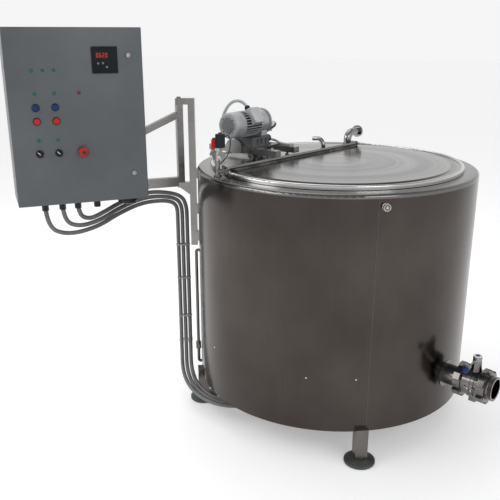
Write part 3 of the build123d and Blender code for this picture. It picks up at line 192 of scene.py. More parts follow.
def brushed_metal(name, dark, light, rough, stretch, smudge, depth=0.05):
    """Stainless sheet or tube with a drawn grain. rough is (lowest, highest)."""
    material = new_material(name)
    tree = material.node_tree
    marks = add_node(tree, "ShaderNodeGroup", node_tree=brushing)
    marks.inputs["Stretch"].default_value = stretch
    marks.inputs["Smudge Scale"].default_value = smudge
    both = add_node(tree, "ShaderNodeMath", operation="MULTIPLY_ADD")
    tree.links.new(marks.outputs["Scratch"], both.inputs[0])
    both.inputs[1].default_value = 0.45
    tree.links.new(map_range(tree, marks.outputs["Smudge"], 0.0, 0.55, 0.3, 0.7), both.inputs[2])
    colour = blend_colours(tree, both.outputs[0], dark, light)
    roughness = map_range(tree, both.outputs[0], rough[0], rough[1])
    surface(material, roughness, colour, marks.outputs["Scratch"], depth, metallic=1.0)
    return material


def turned_metal(name, dark, light, rough, pitch=160.0, depth=0.05, rim_highlight_colour=None):
    """Stainless with marks and broad bands that run round the vat, the bands being painted reflection, and a
    painted highlight on the rolled rim.
    """
    material = new_material(name)
    tree = material.node_tree
    marks = add_node(tree, "ShaderNodeGroup", node_tree=turned_rings)
    marks.inputs["Pitch"].default_value = pitch
    fine = map_range(tree, marks.outputs["Scratch"], 0.0, 0.35, 0.3, 0.7)
    # the fine marks are turned grain; the broad light and dark bands are painted reflection
    reflection_bands = map_range(tree, marks.outputs["Wave"], 0.0, 0.65, 0.41, 0.59)
    both = add_node(tree, "ShaderNodeMath", operation="ADD")
    tree.links.new(fine, both.inputs[0])
    tree.links.new(reflection_bands, both.inputs[1])
    colour = blend_colours(tree, both.outputs[0], dark, light)
    # the rolled rim gets a lighter colour: a painted highlight
    if rim_highlight_colour is not None:
        rim_highlight_mask = map_range(tree, marks.outputs["Radius"], 0.0, 1.0, lid_rim_start, lid_rim_start + 0.004)
        colour = blend_colours(tree, rim_highlight_mask, colour, rim_highlight_colour)
    roughness = map_range(tree, marks.outputs["Scratch"], rough[0], rough[1], 0.3, 0.7)
    surface(material, roughness, colour, marks.outputs["Wave"], depth, metallic=1.0, distance=0.004)
    return material


def coated(name, dark, light, rough, grain_scale=900.0, soil=6.0, depth=0.08, metallic=0.0, coat=0.0,
           specular=0.5):
    """Paint, cast metal, rubber or plastic with an even grain and slight soiling."""
    material = new_material(name)
    tree = material.node_tree
    marks = add_node(tree, "ShaderNodeGroup", node_tree=grain)
    marks.inputs["Grain Scale"].default_value = grain_scale
    marks.inputs["Soil Scale"].default_value = soil
    soiling = map_range(tree, marks.outputs["Soil"], 0.0, 1.0, 0.3, 0.7)
    colour = blend_colours(tree, soiling, dark, light)
    roughness = map_range(tree, marks.outputs["Soil"], rough[0], rough[1], 0.3, 0.7)
    surface(material, roughness, colour, marks.outputs["Grain"], depth, metallic, coat, 0.0005)
    shader_of(material).inputs["Specular IOR Level"].default_value = specular
    return material


shell_steel = brushed_metal("shell_steel", (0.040, 0.033, 0.030), (0.098, 0.085, 0.078), (0.14, 0.28),
                            (700, 700, 5), 2.2, 0.006)
shoulder_steel = turned_metal("shoulder_steel", (0.13, 0.125, 0.12), (0.19, 0.183, 0.178), (0.16, 0.26))
# the lid's last colour is the painted highlight on its rolled rim
lid_steel = turned_metal("lid_steel", (0.080, 0.078, 0.076), (0.245, 0.241, 0.236), (0.12, 0.22), 120.0,
                         0.06, (0.55, 0.544, 0.538))
tube_steel = brushed_metal("tube_steel", (0.180, 0.174, 0.166), (0.31, 0.302, 0.290), (0.20, 0.36),
                           (60, 60, 900), 8.0)
leg_steel = brushed_metal("leg_steel", (0.110, 0.100, 0.094), (0.195, 0.180, 0.170), (0.22, 0.38),
                          (60, 60, 900), 8.0)
beam_steel = brushed_metal("beam_steel", (0.20, 0.197, 0.193), (0.33, 0.326, 0.321), (0.22, 0.38),
                           (60, 900, 900), 8.0)
polished_steel = brushed_metal("polished_steel", (0.20, 0.195, 0.19), (0.36, 0.355, 0.35), (0.08, 0.18),
                               (500, 500, 500), 12.0, 0.02)
fitting_steel = brushed_metal("fitting_steel", (0.085, 0.078, 0.074), (0.25, 0.237, 0.228), (0.06, 0.18),
                              (900, 60, 900), 20.0, 0.02)
inner_steel = turned_metal("inner_steel", (0.50, 0.50, 0.49), (0.60, 0.60, 0.59), (0.18, 0.32))
weld_steel = brushed_metal("weld_steel", (0.075, 0.066, 0.061), (0.14, 0.13, 0.122), (0.25, 0.45),
                           (300, 300, 300), 40.0, 0.3)
bolt_steel = brushed_metal("bolt_steel", (0.45, 0.44, 0.43), (0.62, 0.61, 0.60), (0.12, 0.28),
                           (900, 900, 900), 60.0, 0.03)
cast_silver = coated("cast_silver", (0.46, 0.475, 0.49), (0.66, 0.68, 0.695), (0.26, 0.42), 420.0, 12.0,
                     0.20, 0.35, 0.3)


def axis_group():
    """Distance from the motor's axis and place along it, in metres."""
    group, start, end = new_group(
        "motor_axis", [("Centre", "NodeSocketVector", (0, 0, 0)), ("Turn", "NodeSocketFloat", 0.0)],
        [("Away", "NodeSocketFloat"), ("Along", "NodeSocketFloat")])
    place = add_node(group, "ShaderNodeTexCoord")
    turned = add_node(group, "ShaderNodeVectorRotate", rotation_type="Z_AXIS")
    group.links.new(place.outputs["Object"], turned.inputs["Vector"])
    group.links.new(start.outputs["Centre"], turned.inputs["Center"])
    group.links.new(start.outputs["Turn"], turned.inputs["Angle"])
    from_centre = add_node(group, "ShaderNodeVectorMath", operation="SUBTRACT")
    group.links.new(turned.outputs[0], from_centre.inputs[0])
    group.links.new(start.outputs["Centre"], from_centre.inputs[1])
    across = add_node(group, "ShaderNodeVectorMath", operation="MULTIPLY")
    group.links.new(from_centre.outputs[0], across.inputs[0])
    across.inputs[1].default_value = (0, 1, 1)
    away = add_node(group, "ShaderNodeVectorMath", operation="LENGTH")
    group.links.new(across.outputs[0], away.inputs[0])
    split = add_node(group, "ShaderNodeSeparateXYZ")
    group.links.new(from_centre.outputs[0], split.inputs[0])
    group.links.new(away.outputs["Value"], end.inputs["Away"])
    group.links.new(split.outputs["X"], end.inputs["Along"])
    return group


motor_axis = axis_group()


def painted_shade_in_hollows(material, low, high, face=None):
    """Darkens with painted near-black shade what lies nearer to the motor's axis than low, apart from what
    lies beyond a face.
    """
    tree = material.node_tree
    shader = shader_of(material)
    base = shader.inputs["Base Color"].links[0].from_socket
    marks = add_node(tree, "ShaderNodeGroup", node_tree=motor_axis)
    marks.inputs["Centre"].default_value = drive_place + Vector((0, 0, motor_height))
    marks.inputs["Turn"].default_value = -math.radians(bridge_turn)
    lit = map_range(tree, marks.outputs["Away"], 0.0, 1.0, low, high)
    if face is not None:
        on_face = map_range(tree, marks.outputs["Along"], 1.0, 0.0, face - 0.0003, face + 0.0003)
        either = add_node(tree, "ShaderNodeMath", operation="MAXIMUM")
        tree.links.new(lit, either.inputs[0])
        tree.links.new(on_face, either.inputs[1])
        lit = either.outputs[0]
    # near-black colour of the painted shade in the hollows
    painted_shade_black = (0.012, 0.013, 0.014)
    tree.links.new(blend_colours(tree, lit, painted_shade_black, base), shader.inputs["Base Color"])


cowl_paint = coated("cowl_paint", (0.33, 0.342, 0.35), (0.46, 0.475, 0.483), (0.32, 0.45), 900.0, 12.0,
                    0.06, 0.25)
terminal_paint = coated("terminal_paint", (0.40, 0.41, 0.42), (0.60, 0.615, 0.625), (0.38, 0.52), 500.0,
                        14.0, 0.12, 0.25)
gearbox_iron = coated("gearbox_iron", (0.052, 0.052, 0.057), (0.145, 0.145, 0.152), (0.40, 0.60), 300.0,
                      16.0, 0.30, 0.3)
case_metal = coated("case_metal", (0.31, 0.316, 0.322), (0.48, 0.487, 0.493), (0.28, 0.44), 500.0, 16.0,
                    0.15, 0.6)
cabinet_paint = coated("cabinet_paint", (0.080, 0.086, 0.092), (0.106, 0.113, 0.120), (0.34, 0.44), 700.0,
                       2.5, 0.10)
door_paint = coated("door_paint", (0.070, 0.078, 0.084), (0.106, 0.115, 0.123), (0.30, 0.42), 700.0, 2.5,
                    0.10, 0.25)
black_plastic = coated("black_plastic", (0.008, 0.008, 0.010), (0.020, 0.020, 0.023), (0.35, 0.50), 600.0,
                       20.0, 0.08, specular=0.25)
meter_plastic = coated("meter_plastic", (0.004, 0.005, 0.008), (0.008, 0.010, 0.014), (0.22, 0.34), 500.0,
                       15.0, 0.06, specular=0.15)
foot_rubber = coated("foot_rubber", (0.030, 0.036, 0.031), (0.070, 0.078, 0.070), (0.40, 0.60), 400.0,
                     20.0, 0.20)
seal_rubber = coated("seal_rubber", (0.45, 0.45, 0.43), (0.55, 0.55, 0.53), (0.55, 0.70))
conduit_plastic = coated("conduit_plastic", (0.105, 0.107, 0.104), (0.17, 0.172, 0.168), (0.40, 0.56), 600.0,
                         14.0, 0.06)
pale_conduit = coated("pale_conduit", (0.40, 0.405, 0.40), (0.50, 0.505, 0.50), (0.40, 0.55), 600.0, 20.0,
                      0.06)
tie_plastic = coated("tie_plastic", (0.34, 0.34, 0.32), (0.42, 0.42, 0.40), (0.35, 0.45))
blue_plastic = coated("blue_plastic", (0.003, 0.016, 0.085), (0.006, 0.026, 0.130), (0.16, 0.26), 300.0,
                      30.0, 0.01, specular=0.3)
red_plastic = coated("red_plastic", (0.40, 0.010, 0.010), (0.52, 0.015, 0.014), (0.22, 0.34), 300.0, 30.0,
                     0.02, specular=0.3)
mushroom_red = coated("mushroom_red", (0.30, 0.010, 0.012), (0.40, 0.016, 0.018), (0.28, 0.40), 300.0,
                      30.0, 0.03, specular=0.3)
green_lens = coated("green_lens", (0.004, 0.100, 0.045), (0.006, 0.140, 0.062), (0.12, 0.22), 300.0, 60.0,
                    0.02, coat=0.2, specular=0.3)
red_lens = coated("red_lens", (0.14, 0.006, 0.010), (0.19, 0.010, 0.016), (0.12, 0.22), 300.0, 60.0, 0.02,
                  coat=0.2, specular=0.3)
white_mark = coated("white_mark", (0.70, 0.70, 0.68), (0.80, 0.80, 0.78), (0.35, 0.45))
display_glass = coated("display_glass", (0.020, 0.003, 0.004), (0.032, 0.004, 0.005), (0.10, 0.18), 300.0,
                       60.0, 0.01, specular=0.3)
plated_brass = coated("plated_brass", (0.38, 0.38, 0.36), (0.55, 0.55, 0.52), (0.20, 0.36), 500.0, 30.0,
                      0.10, 0.95)
wool = coated("wool", (0.45, 0.40, 0.24), (0.60, 0.55, 0.36), (0.80, 0.95), 120.0, 20.0, 0.6)
gear_plate_paint = coated("gear_plate_paint", (0.42, 0.43, 0.43), (0.52, 0.53, 0.53), (0.40, 0.55))

# Painted shade in the gaps between the motor's ribs, and in the cowl's inside behind its grille and face
cowl_face = cowl_start - cowl_depth
inner_wall_start = cowl_face + 0.012
painted_shade_in_hollows(cast_silver, 0.0500, 0.0555)
painted_shade_in_hollows(cowl_paint, 0.0430, 0.0436, cowl_face)
painted_shade_in_hollows(cowl_paint, 0.0540, 0.0546, inner_wall_start)


def display_light():
    """Lit red segments."""
    material = coated("display_light", (0.40, 0.01, 0.01), (0.60, 0.02, 0.02), (0.3, 0.4))
    shader = shader_of(material)
    shader.inputs["Emission Color"].default_value = (1.0, 0.05, 0.04, 1)
    shader.inputs["Emission Strength"].default_value = 0.40
    return material


display_red = display_light()

finishes = {
    shell_steel: ["outer_shell"],
    shoulder_steel: ["shoulder_ring"],
    lid_steel: ["front_lid", "rear_cover"],
    beam_steel: ["bridge_beams"],
    tube_steel: ["panel_post", "jib_frame", "filling_pipe", "hinge_rod"],
    leg_steel: ["legs", "base_frame", "shell_fittings"],
    polished_steel: ["inlet_pipe", "vent_pipe", "valve_handle", "agitator_shaft", "agitator_blades"],
    bolt_steel: ["lock_upper", "lock_lower"],
    fitting_steel: ["outlet_stub", "union_nuts", "valve_body", "valve_disc", "outlet_end"],
    inner_steel: ["inner_vessel", "jacket_wall", "heaters"],
    cast_silver: ["motor_body"],
    cowl_paint: ["fan_cowl"],
    terminal_paint: ["terminal_box"],
    gearbox_iron: ["gearbox"],
    case_metal: ["gear_case"],
    cabinet_paint: ["cabinet_box"],
    door_paint: ["cabinet_door"],
    black_plastic: ["switch_bodies", "selector_left", "selector_right", "solenoid_coil", "motor_fan",
                    "cable_glands"],
    meter_plastic: ["controller"],
    foot_rubber: ["foot_pads"],
    seal_rubber: ["lid_gasket"],
    blue_plastic: ["start_button_left", "start_button_right", "handle_knob"],
    red_plastic: ["stop_button_left", "stop_button_right"],
    mushroom_red: ["emergency_button"],
    plated_brass: ["filling_valve"],
    wool: ["insulation"],
    gear_plate_paint: ["switchgear"],
}
for finish, names in finishes.items():
    for name in names:
        nodes[name].data.materials.clear()
        nodes[name].data.materials.append(finish)


# Frames that the pieces are placed in

def turn(degrees, axis):
    return Matrix.Rotation(math.radians(degrees), 4, axis)


def shift(x, y, z):
    return Matrix.Translation((x, y, z))


drive = Matrix.Translation(drive_place) @ turn(bridge_turn, "Z")
motor = drive @ shift(0, 0, motor_height)
cowl = motor @ shift(cowl_start, 0, 0) @ turn(-90, "Y")
terminal = motor @ shift(-0.071, 0, 0) @ turn(56, "X")
panel = turn(pivot_angle, "Z") @ shift(pivot_radius, 0, 0) @ turn(panel_turn - pivot_angle, "Z")
cabinet = panel @ shift(-0.702, -0.234, 1.0167)
door_face = cabinet @ turn(90, "X")


def facing(place, direction):
    """A frame at a point whose Z axis points along a direction."""
    return Matrix.Translation(place) @ Vector(direction).to_track_quat("Z", "Y").to_matrix().to_4x4()


class Piece:
    """Gathers turned and extruded forms into one mesh that rides on a body."""

    def __init__(self):
        self.mesh = bmesh.new()

    def turned(self, profile, place, steps=32):
        """A profile of (radius, height) turned about the Z axis of a frame."""
        rings = []
        for radius, height in profile:
            if radius == 0:
                rings.append([self.mesh.verts.new(place @ Vector((0, 0, height)))])
                continue
            ring = []
            for step in range(steps):
                angle = 2 * math.pi * step / steps
                point = Vector((radius * math.cos(angle), radius * math.sin(angle), height))
                ring.append(self.mesh.verts.new(place @ point))
            rings.append(ring)
        for lower, upper in zip(rings, rings[1:]):
            for step in range(steps):
                after = (step + 1) % steps
                if len(lower) == 1:
                    self.mesh.faces.new((lower[0], upper[after], upper[step]))
                elif len(upper) == 1:
                    self.mesh.faces.new((lower[step], lower[after], upper[0]))
                else:
                    self.mesh.faces.new((lower[step], lower[after], upper[after], upper[step]))

    def extruded(self, outline, low, high, place, bevel=0.0):
        """A closed outline of (x, y) points pushed from low to high, its top edge bevelled."""
        middle_x = sum(x for x, y in outline) / len(outline)
        middle_y = sum(y for x, y in outline) / len(outline)
        size = max(max(abs(x - middle_x), abs(y - middle_y)) for x, y in outline)
        levels = [(low, 0.0), (high - bevel, 0.0), (high, bevel)] if bevel else [(low, 0), (high, 0)]
        loops = []
        for height, inset in levels:
            share = 1 - inset / size
            loops.append([self.mesh.verts.new(place @ Vector((middle_x + (x - middle_x) * share,
                                                              middle_y + (y - middle_y) * share,
                                                              height)))
                          for x, y in outline])
        count = len(outline)
        for lower, upper in zip(loops, loops[1:]):
            for step in range(count):
                after = (step + 1) % count
                self.mesh.faces.new((lower[step], lower[after], upper[after], upper[step]))
        self.mesh.faces.new(list(reversed(loops[0])))
        self.mesh.faces.new(loops[-1])

    def swept(self, path, radii, steps=10, closed=False):
        """A round tube along points, with its own radius at each point."""
        rings = []
        side = None
        count = len(path)
        for index, at in enumerate(path):
            ahead = path[(index + 1) % count] if closed else path[min(index + 1, count - 1)]
            behind = path[index - 1] if closed or index else path[0]
            along = (ahead - behind).normalized()
            if side is None:
                side = along.orthogonal()
            side = (side - along * side.dot(along)).normalized()
            across = along.cross(side)
            radius = radii[index % len(radii)]
            rings.append([self.mesh.verts.new(at + radius * (side * math.cos(2 * math.pi * s / steps)
                                                             + across * math.sin(2 * math.pi * s / steps)))
                          for s in range(steps)])
        pairs = list(zip(rings, rings[1:])) + ([(rings[-1], rings[0])] if closed else [])
        for lower, upper in pairs:
            for step in range(steps):
                after = (step + 1) % steps
                self.mesh.faces.new((lower[step], lower[after], upper[after], upper[step]))
        if not closed:
            self.mesh.faces.new(list(reversed(rings[0])))
            self.mesh.faces.new(rings[-1])

    def done(self, name, finish, body, sharp=35):
        bmesh.ops.recalc_face_normals(self.mesh, faces=self.mesh.faces)
        data = bpy.data.meshes.new(name)
        self.mesh.to_mesh(data)
        self.mesh.free()
        for face in data.polygons:
            face.use_smooth = True
        data.set_sharp_from_angle(angle=math.radians(sharp))
        data.materials.append(finish)
        piece = bpy.data.objects.new(name, data)
        scene.collection.objects.link(piece)
        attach(piece, body)
        return piece


def hexagon(across_flats):
    radius = across_flats / math.sqrt(3)
    return [(radius * math.cos(math.radians(60 * s)), radius * math.sin(math.radians(60 * s)))
            for s in range(6)]


def rounded_box(half_x, half_y, corner, steps=4):
    """Outline of a rectangle with rounded corners."""
    outline = []
    for quarter, (side_x, side_y) in enumerate(((1, 1), (-1, 1), (-1, -1), (1, -1))):
        for step in range(steps + 1):
            angle = math.radians(90 * (quarter + step / steps))
            outline.append((side_x * (half_x - corner) + corner * math.cos(angle),
                            side_y * (half_y - corner) + corner * math.sin(angle)))
    return outline


def moved(outline, x, y):
    return [(a + x, b + y) for a, b in outline]


def dome_screw(piece, place, radius):
    """A round-headed screw with a hexagon socket."""
    piece.turned([(radius, 0), (radius, 0.25 * radius), (0.93 * radius, 0.55 * radius),
                  (0.7 * radius, 0.8 * radius), (0.42 * radius, 0.88 * radius),
                  (0.40 * radius, 0.5 * radius), (0, 0.5 * radius)], place, 20)


def hex_nut(piece, place, across_flats, height, stud):
    """Washer, chamfered nut and the end of its stud."""
    piece.turned([(across_flats * 0.72, 0), (across_flats * 0.72, 0.0014), (0, 0.0014)], place, 28)
    piece.extruded(hexagon(across_flats), 0.0014, 0.0014 + height, place, 0.0008)
    piece.turned([(stud, height), (stud, height + 0.0035), (stud - 0.0008, height + 0.0045),
                  (0, height + 0.0045)], place, 16)


# Conduits: each keeps the route of its solid, as a smooth line

def line_through(name, route):
    """Points along the smooth line that a route steers, close together."""
    curve = bpy.data.curves.new(name + "_line", "CURVE")
    curve.dimensions = "3D"
    spline = curve.splines.new("NURBS")
    spline.points.add(len(route) - 1)
    for point, at in zip(spline.points, route):
        point.co = (*at, 1)
    spline.order_u = 3
    spline.use_endpoint_u = True
    spline.resolution_u = 32
    holder = bpy.data.objects.new(name + "_line", curve)
    scene.collection.objects.link(holder)
    bpy.context.view_layer.update()
    mesh = bpy.data.meshes.new_from_object(holder)
    points = [vertex.co.copy() for vertex in mesh.vertices]
    bpy.data.objects.remove(holder)
    return points


def even_steps(points, step):
    """The same line with points a fixed distance apart."""
    result = [points[0].copy()]
    left = step
    for first, second in zip(points, points[1:]):
        length = (second - first).length
        gone = 0.0
        while length - gone >= left:
            gone += left
            result.append(first.lerp(second, gone / length))
            left = step
        left -= length - gone
    return result


rib_pitch = 0.0045
groove_depth = 0.0008


def ribbed_conduit(node, body, route, radius, finish):
    """A corrugated conduit that stands for its solid."""
    name = node + "_ribbed"
    points = even_steps(line_through(name, route), rib_pitch / 3)
    piece = Piece()
    piece.swept(points, [radius, radius, radius - groove_depth], 14)
    tube = piece.done(name, finish, body, 60)
    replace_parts(tube, node)


conduit_radius = 0.009
panel_routes = [
    [(-1.047, 0.6387, 1.0047), (-1.047, 0.6387, 0.915), (-0.9889, 0.5916, 0.88),
     (-0.8665, 0.5613, 0.893), (-0.7367, 0.5856, 0.922), (-0.6052, 0.5911, 0.944),
     (-0.5159, 0.5618, 0.944), (-0.469, 0.5394, 0.932), (-0.4509, 0.5325, 0.905),
     (-0.4509, 0.5325, 0.872)],
    [(-0.988, 0.609, 1.0047), (-0.988, 0.609, 0.934), (-0.9344, 0.5821, 0.905),
     (-0.8441, 0.5613, 0.92), (-0.7314, 0.5852, 0.945), (-0.5999, 0.5907, 0.965),
     (-0.5159, 0.5618, 0.964), (-0.4515, 0.5295, 0.946), (-0.4337, 0.5205, 0.905),
     (-0.4337, 0.5205, 0.872)],
    [(-0.9344, 0.5821, 1.0047), (-0.9344, 0.5821, 0.955), (-0.8942, 0.573, 0.93),
     (-0.8361, 0.5662, 0.944), (-0.726, 0.5847, 0.968), (-0.5972, 0.5916, 0.986),
     (-0.5159, 0.5618, 0.984), (-0.4346, 0.5187, 0.96), (-0.4164, 0.5085, 0.905),
     (-0.4164, 0.5085, 0.872)]]
tank_routes = [
    [(-0.4509, 0.5325, 0.8705), (-0.4509, 0.5325, 0.64), (-0.4532, 0.53, 0.42),
     (-0.4582, 0.525, 0.24), (-0.5182, 0.4585, 0.122), (-0.5685, 0.3244, 0.092),
     (-0.565, 0.1885, 0.085), (-0.4909, 0.0835, 0.086), (-0.3829, 0.0386, 0.086)],
    [(-0.4337, 0.5205, 0.8705), (-0.4337, 0.5205, 0.64), (-0.436, 0.518, 0.42),
     (-0.441, 0.513, 0.24), (-0.5, 0.448, 0.122), (-0.548, 0.32, 0.092),
     (-0.545, 0.195, 0.085), (-0.478, 0.1, 0.086), (-0.375, 0.058, 0.086)],
    [(-0.4164, 0.5085, 0.8705), (-0.4164, 0.5085, 0.64), (-0.4188, 0.506, 0.42),
     (-0.4238, 0.501, 0.24), (-0.4818, 0.4375, 0.122), (-0.5275, 0.3156, 0.092),
     (-0.525, 0.2015, 0.085), (-0.4651, 0.1165, 0.086), (-0.3671, 0.0774, 0.086)]]
motor_route = [(-0.2015, 0.3327, 1.3343), (-0.2034, 0.3545, 1.3666), (-0.246, 0.3937, 1.366),
               (-0.2578, 0.4368, 1.292), (-0.2091, 0.4772, 1.216), (-0.2015, 0.4819, 1.1636)]
for number in range(3):
    ribbed_conduit("panel_conduit_" + str(number + 1), "jib", panel_routes[number], conduit_radius,
                   conduit_plastic)
    ribbed_conduit("tank_conduit_" + str(number + 1), "vat", tank_routes[number], conduit_radius,
                   conduit_plastic)
ribbed_conduit("motor_conduit", "vat", motor_route, 0.007, pale_conduit)


def smooth_lead(name, body, route, radius, finish):
    """A smooth thin cable between two points of the machine."""
    curve = bpy.data.curves.new(name, "CURVE")
    curve.dimensions = "3D"
    curve.bevel_depth = radius
    curve.bevel_resolution = 4
    curve.use_fill_caps = True
    spline = curve.splines.new("NURBS")
    spline.points.add(len(route) - 1)
    for point, at in zip(spline.points, route):
        point.co = (*at, 1)
    spline.order_u = 3
    spline.use_endpoint_u = True
    spline.resolution_u = 24
    curve.materials.append(finish)
    lead = bpy.data.objects.new(name, curve)
    scene.collection.objects.link(lead)
    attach(lead, body)


# Ties round the conduits and the jib's arm

def band(piece, place, half_x, half_y, corner, width, thickness):
    """A flat strap round a rounded rectangle, lying in the XY plane of a frame."""
    inner = rounded_box(half_x, half_y, corner, 6)
    outer = rounded_box(half_x + thickness, half_y + thickness, corner + thickness, 6)
    loops = []
    for outline, height in ((inner, -width / 2), (outer, -width / 2), (outer, width / 2),
                            (inner, width / 2)):
        loops.append([piece.mesh.verts.new(place @ Vector((x, y, height))) for x, y in outline])
    count = len(inner)
    for lower, upper in zip(loops, loops[1:] + loops[:1]):
        for step in range(count):
            after = (step + 1) % count
            piece.mesh.faces.new((lower[step], lower[after], upper[after], upper[step]))


def tie_head(piece, place, x, y):
    piece.extruded(moved(rounded_box(0.0045, 0.0035, 0.001), x, y), -0.0035, 0.0035, place, 0.0006)


lane_angle = -34.86
tank_ties = Piece()
for x, y, z in ((-0.4337, 0.5205, 0.732), (-0.4343, 0.5197, 0.572), (-0.4370, 0.5170, 0.385),
                (-0.4430, 0.5110, 0.262)):
    place = shift(x, y, z) @ turn(lane_angle, "Z")
    band(tank_ties, place, 0.0310, 0.0096, 0.0094, 0.005, 0.0011)
    tie_head(tank_ties, place, 0.006, -0.0135)
tank_ties.done("conduit_ties", tie_plastic, "vat")

arm_ties = Piece()
for x in (-0.150, -0.196):
    place = panel @ shift(x, 0, 1.023) @ turn(90, "Y")
    band(arm_ties, place, 0.0206, 0.0146, 0.0020, 0.004, 0.0010)
    tie_head(arm_ties, place, 0.010, -0.0185)
arm_ties.done("arm_ties", tie_plastic, "jib")


# Shell: vertical seam, blind rivets, threaded plug, and weld beads round the pipes

seam = Piece()
seam_half, seam_foot, seam_top = 0.0012, 0.15, 1.084
seam_away = Vector((-0.383, -0.462, 0)).normalized()
seam_place = Matrix.Translation(shell_radius * seam_away) @ turn(
    math.degrees(math.atan2(seam_away.y, seam_away.x)) + 90, "Z") @ turn(-90, "X") @ turn(180, "Z")
seam.extruded([(-seam_half, seam_foot), (seam_half, seam_foot), (seam_half, seam_top),
               (-seam_half, seam_top)], -0.001, 0.0004, seam_place)
seam.done("shell_seam", weld_steel, "vat")

rivets = Piece()
for x, y, z in ((-0.534, -0.274, 0.371), (-0.420, -0.429, 0.373), (-0.569, 0.190, 0.368)):
    away = Vector((x, y, 0)).normalized()
    spot = away * shell_radius
    dome_screw(rivets, facing((spot.x, spot.y, z), away), 0.0042)
rivets.done("shell_rivets", bolt_steel, "vat")

plug_height, plug_angle = 1.057, -127.2
nozzle_place = shift(0, 0, plug_height) @ turn(plug_angle, "Z") @ shift(shell_radius - 0.0002, 0, 0) @ turn(
    90, "Y")
nozzle_nut = Piece()
nozzle_nut.turned([(0.0148, 0.0002), (0.0148, 0.0016), (0.0112, 0.0016)], nozzle_place, 32)
for turned_by, low, high in ((0, 0.0016, 0.0066), (17, 0.0072, 0.0118)):
    nozzle_nut.extruded(hexagon(0.0245), low, high, nozzle_place @ turn(turned_by, "Z"), 0.0006)
nozzle_nut.turned([(0.0141, 0.0121), (0.0143, 0.0130), (0.0143, 0.0172), (0.0134, 0.0182), (0.0112, 0.0184),
                   (0.0106, 0.0176), (0.0052, 0.0176), (0.0048, 0.0183), (0.0030, 0.0185),
                   (0, 0.0185)], nozzle_place, 32)
nozzle_nut.done("nozzle_nut", bolt_steel, "vat")


def weld_bead(piece, centre, radius, thickness, ripples):
    """A rippled weld round an upright pipe."""
    points = []
    radii = []
    count = ripples * 4     # four rings make one ripple
    for step in range(count):
        angle = 2 * math.pi * step / count
        points.append(Vector(centre) + Vector((radius * math.cos(angle), radius * math.sin(angle), 0)))
        radii.append(thickness * (1 + 0.18 * math.cos(step * math.pi / 2)))
    piece.swept(points, radii, 8, closed=True)


welds = Piece()
weld_bead(welds, (0.421, 0.226, cover_top), 0.0200, 0.0016, 30)
weld_bead(welds, (0.212, 0.222, cover_top), 0.0110, 0.0014, 20)
weld_bead(welds, filling_place + Vector((0, 0, 1.1042)), 0.0104, 0.0018, 18)
welds.done("pipe_welds", weld_steel, "vat")


# Drive: screws, nuts and the lead

drive_screws = Piece()
for x in (-0.025, 0.025):
    for y in (-0.029, 0.029):
        dome_screw(drive_screws, terminal @ shift(x, y, 0.0775), 0.0032)
for degrees in (45, 135, 225, 315):
    dome_screw(drive_screws, cowl @ turn(degrees, "Z") @ shift(0.0555, 0, 0.018) @ turn(90, "Y"), 0.0030)
drive_screws.done("drive_screws", bolt_steel, "vat")

gland_sleeve = Piece()
gland_sleeve.turned([(0.0102, 0.0), (0.0124, 0.0012), (0.0124, 0.0100), (0.0100, 0.0128), (0.0078, 0.0150),
                     (0.0072, 0.0150)], terminal @ shift(-0.018, 0.0395, 0.058) @ turn(-90, "X"), 28)
gland_sleeve.done("gland_sleeve", black_plastic, "vat")

beam_nuts = Piece()
for x in (-0.080, 0.064):
    for y in (-0.150, 0.160):
        hex_nut(beam_nuts, drive @ shift(x, y, 1.1620), 0.013, 0.0065, 0.004)
beam_nuts.done("beam_nuts", bolt_steel, "vat")


# Outlet: cap screws of the valve, and the rim and blue button on its handle

valve_screws = Piece()
for y, z in ((-0.7185, 0.298), (-0.7355, 0.290)):
    dome_screw(valve_screws, facing((-0.0592, y, z), (-1, 0, 0)), 0.0055)
valve_screws.done("valve_screws", bolt_steel, "vat")

cap_rim = Piece()
cap_rim.turned([(0.0172, 0.4165), (0.0172, 0.4202), (0.0160, 0.4212), (0.0098, 0.4212), (0.0094, 0.4190)],
               Matrix.Translation(valve_middle), 40)
cap_rim.done("cap_rim", white_mark, "butterfly")
cap_button = Piece()
cap_button.turned([(0.0092, 0.4190), (0.0092, 0.4214), (0.0080, 0.4224), (0, 0.4226)],
                  Matrix.Translation(valve_middle), 32)
cap_button.done("cap_button", blue_plastic, "butterfly")


# Door: faces of the locks, lamps, display, keys and marks. Places are from the door's lower left corner.

left_column, right_column, mushroom_column, lock_column = 0.095, 0.165, 0.255, 0.446
lamp_row, lower_lamp_row, switch_row = 0.418, 0.248, 0.199
lens_radius = 0.005


def lens(piece, x, y):
    """A domed lens in its narrow bezel."""
    piece.turned([(lens_radius + 0.0016, 0), (lens_radius + 0.0014, 0.0016), (lens_radius, 0.0022),
                  (lens_radius * 0.94, 0.0042), (lens_radius * 0.72, 0.0060), (lens_radius * 0.38, 0.0070),
                  (0, 0.0073)], door_face @ shift(x, y, 0), 28)


for level, height in (("upper", 0.550), ("lower", 0.104)):
    face = Piece()
    place = door_face @ shift(lock_column, height, 0.003)
    face.turned([(0.0100, -0.0028), (0.0106, -0.0022), (0.0106, -0.0010), (0.0098, 0.0004), (0.0088, 0.0006),
                 (0.0082, 0.0001)], place, 36)
    face.turned([(0.0062, 0.0001), (0.0062, 0.0004), (0.0058, 0.0007), (0.0045, 0.0007), (0.0042, 0.0003),
                 (0.0040, 0.0001)], place, 28)
    face.done("lock_face_" + level, weld_steel, level + "_lock")
green_lamps = Piece()
for x, y in ((0.091, 0.500), (0.130, 0.500), (0.170, 0.500), (left_column, lamp_row),
             (right_column, lamp_row), (left_column, lower_lamp_row), (right_column, lower_lamp_row)):
    lens(green_lamps, x, y)
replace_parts(green_lamps.done("green_lamps", green_lens, "door"), "indicator_lamps")
red_lamp = Piece()
lens(red_lamp, mushroom_column, lamp_row)
